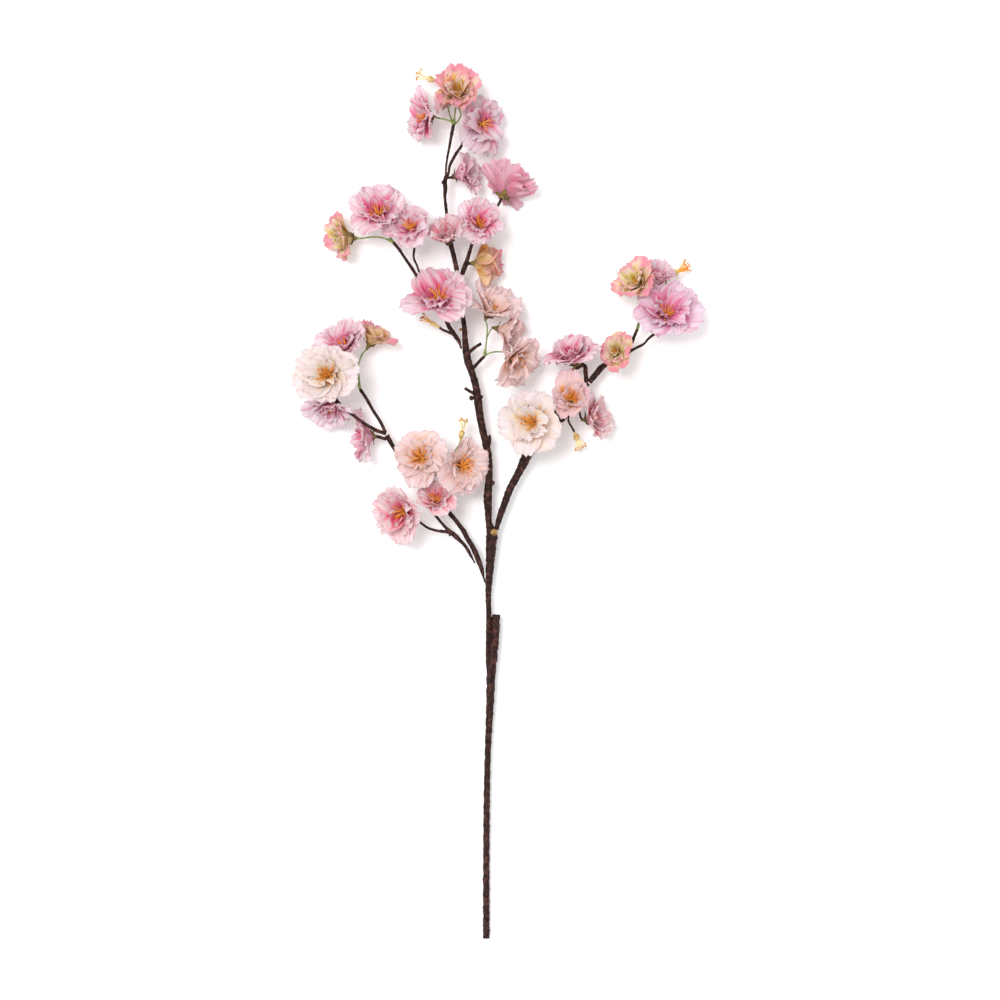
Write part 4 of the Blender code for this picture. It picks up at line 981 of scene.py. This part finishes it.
def buildTwig(name, routes):
    brown, green = [], []
    for number, route in enumerate(routes):
        points = withEnd(route)
        split = route.get("greenFrom")
        if number == 0 and name not in ("lower_stem", "main_stem"):
            points = pluggedIn(points)
            split = split + 1 if split else split
        if split is None:
            brown.append(barkTube(points))
            continue
        if split > 0:
            brown.append(barkTube(points[:split + 1]))
        green.append(stalkTube(points[split:], split > 0))
    for kind, shells, material, slotName in (("bark", brown, barkPaint, "bark"),
                                             ("stalks", green, greenStalk, "green_stalk")):
        if shells:
            points, faces = joined(shells)
            points[:, 2] = np.maximum(points[:, 2], 0.1)
            addPiece(f"{name}_{kind}", points, faces, material, [name])
    for number, bud in enumerate(buds.get(name, []), 1):
        points, faces = budShell(bud)
        material = budAmber if bud["finish"] == "bud" else barkPaint
        addPiece(f"{name}_bud_{number}", points, faces, material, [name])


def buildTuft(name, tuft):
    foot, tip = np.array(tuft["foot"], float), np.array(tuft["tip"], float)
    along = unit(tip - foot)
    aside = unit(np.cross(along, (0, 0, 1)))
    up = np.cross(aside, along)
    length = np.linalg.norm(tip - foot)
    path = foot + (np.array(tuftBase["reach"]) * length)[:, None] * along
    radii = np.array(tuftBase["radius"]) + np.array(tuftBase["flare"]) * tuft["spread"]
    points = tubePoints(path[None], radii[None], tuftBase["sides"]).reshape(-1, 3)
    faces = tubeFaces(1, len(path), tuftBase["sides"])
    addPiece(name + "_cup", points, faces, tuftHusk, [name])
    lean = math.degrees(math.atan2(tuft["spread"], 0.75 * length))
    base = foot + 0.25 * length * along
    reach, radius = tuftBase["threadLength"] * length, tuftBase["threadRadius"]
    points, faces, place = threadBundle(base, along, aside, up, tuft["count"], reach, lean, radius, 0.2)
    points[:, 2] = np.maximum(points[:, 2], 0.3)
    addPiece(name + "_stamens", points, faces, threads[tuft["thread"]], [name], place)


for name, routes in twigs.items():
    buildTwig(name, routes)
print("twigs:", len(twigs))
for name, blossom in blossoms.items():
    buildBlossom(name, blossom)
print("blossoms:", len(blossoms))
for name, tuft in tufts.items():
    buildTuft(name, tuft)
print("tufts:", len(tufts))


# Pale matt table top and an even studio: a white sky and one wide, weak sun.
def buildStudio():
    half = studio["floor"] / 2
    mesh = bpy.data.meshes.new("table_top")
    corners = [(-half, -half, 0), (half, -half, 0), (half, half, 0), (-half, half, 0)]
    mesh.from_pydata(corners, [], [(0, 1, 2, 3)])
    material, _, shader = newMaterial("matt_white_board")
    shader.inputs["Base Color"].default_value = linear(studio["floorColour"])
    shader.inputs["Roughness"].default_value = 0.9
    mesh.materials.append(material)
    floor = bpy.data.objects.new("table_top", mesh)
    bpy.context.scene.collection.objects.link(floor)
    sky = bpy.data.worlds.new("studio")
    sky.use_nodes = True
    sky.node_tree.nodes["Background"].inputs["Color"].default_value = (1, 1, 1, 1)
    sky.node_tree.nodes["Background"].inputs["Strength"].default_value = studio["skyStrength"]
    bpy.context.scene.world = sky
    sun = bpy.data.lights.new("softbox", "SUN")
    sun.energy = studio["sunStrength"]
    sun.angle = math.radians(studio["sunAngle"])
    lamp = bpy.data.objects.new("softbox", sun)
    lamp.rotation_euler = (math.radians(studio["sunTilt"][1]), math.radians(-studio["sunTilt"][0]), 0)
    bpy.context.scene.collection.objects.link(lamp)
    lens = bpy.data.cameras.new("camera")
    lens.sensor_width = studio["sensor"]
    lens.lens = studio["sensor"] * studio["cameraHeight"] / studio["frameWidth"]
    lens.clip_end = 3 * studio["cameraHeight"]
    camera = bpy.data.objects.new("camera", lens)
    middle = (np.array(studio["centre"]) + shift[:2]) * mm
    camera.location = (middle[0], middle[1], studio["cameraHeight"])
    bpy.context.scene.collection.objects.link(camera)
    bpy.context.scene.camera = camera
    bpy.context.scene.view_settings.view_transform = "Standard"


buildStudio()
print("studio")
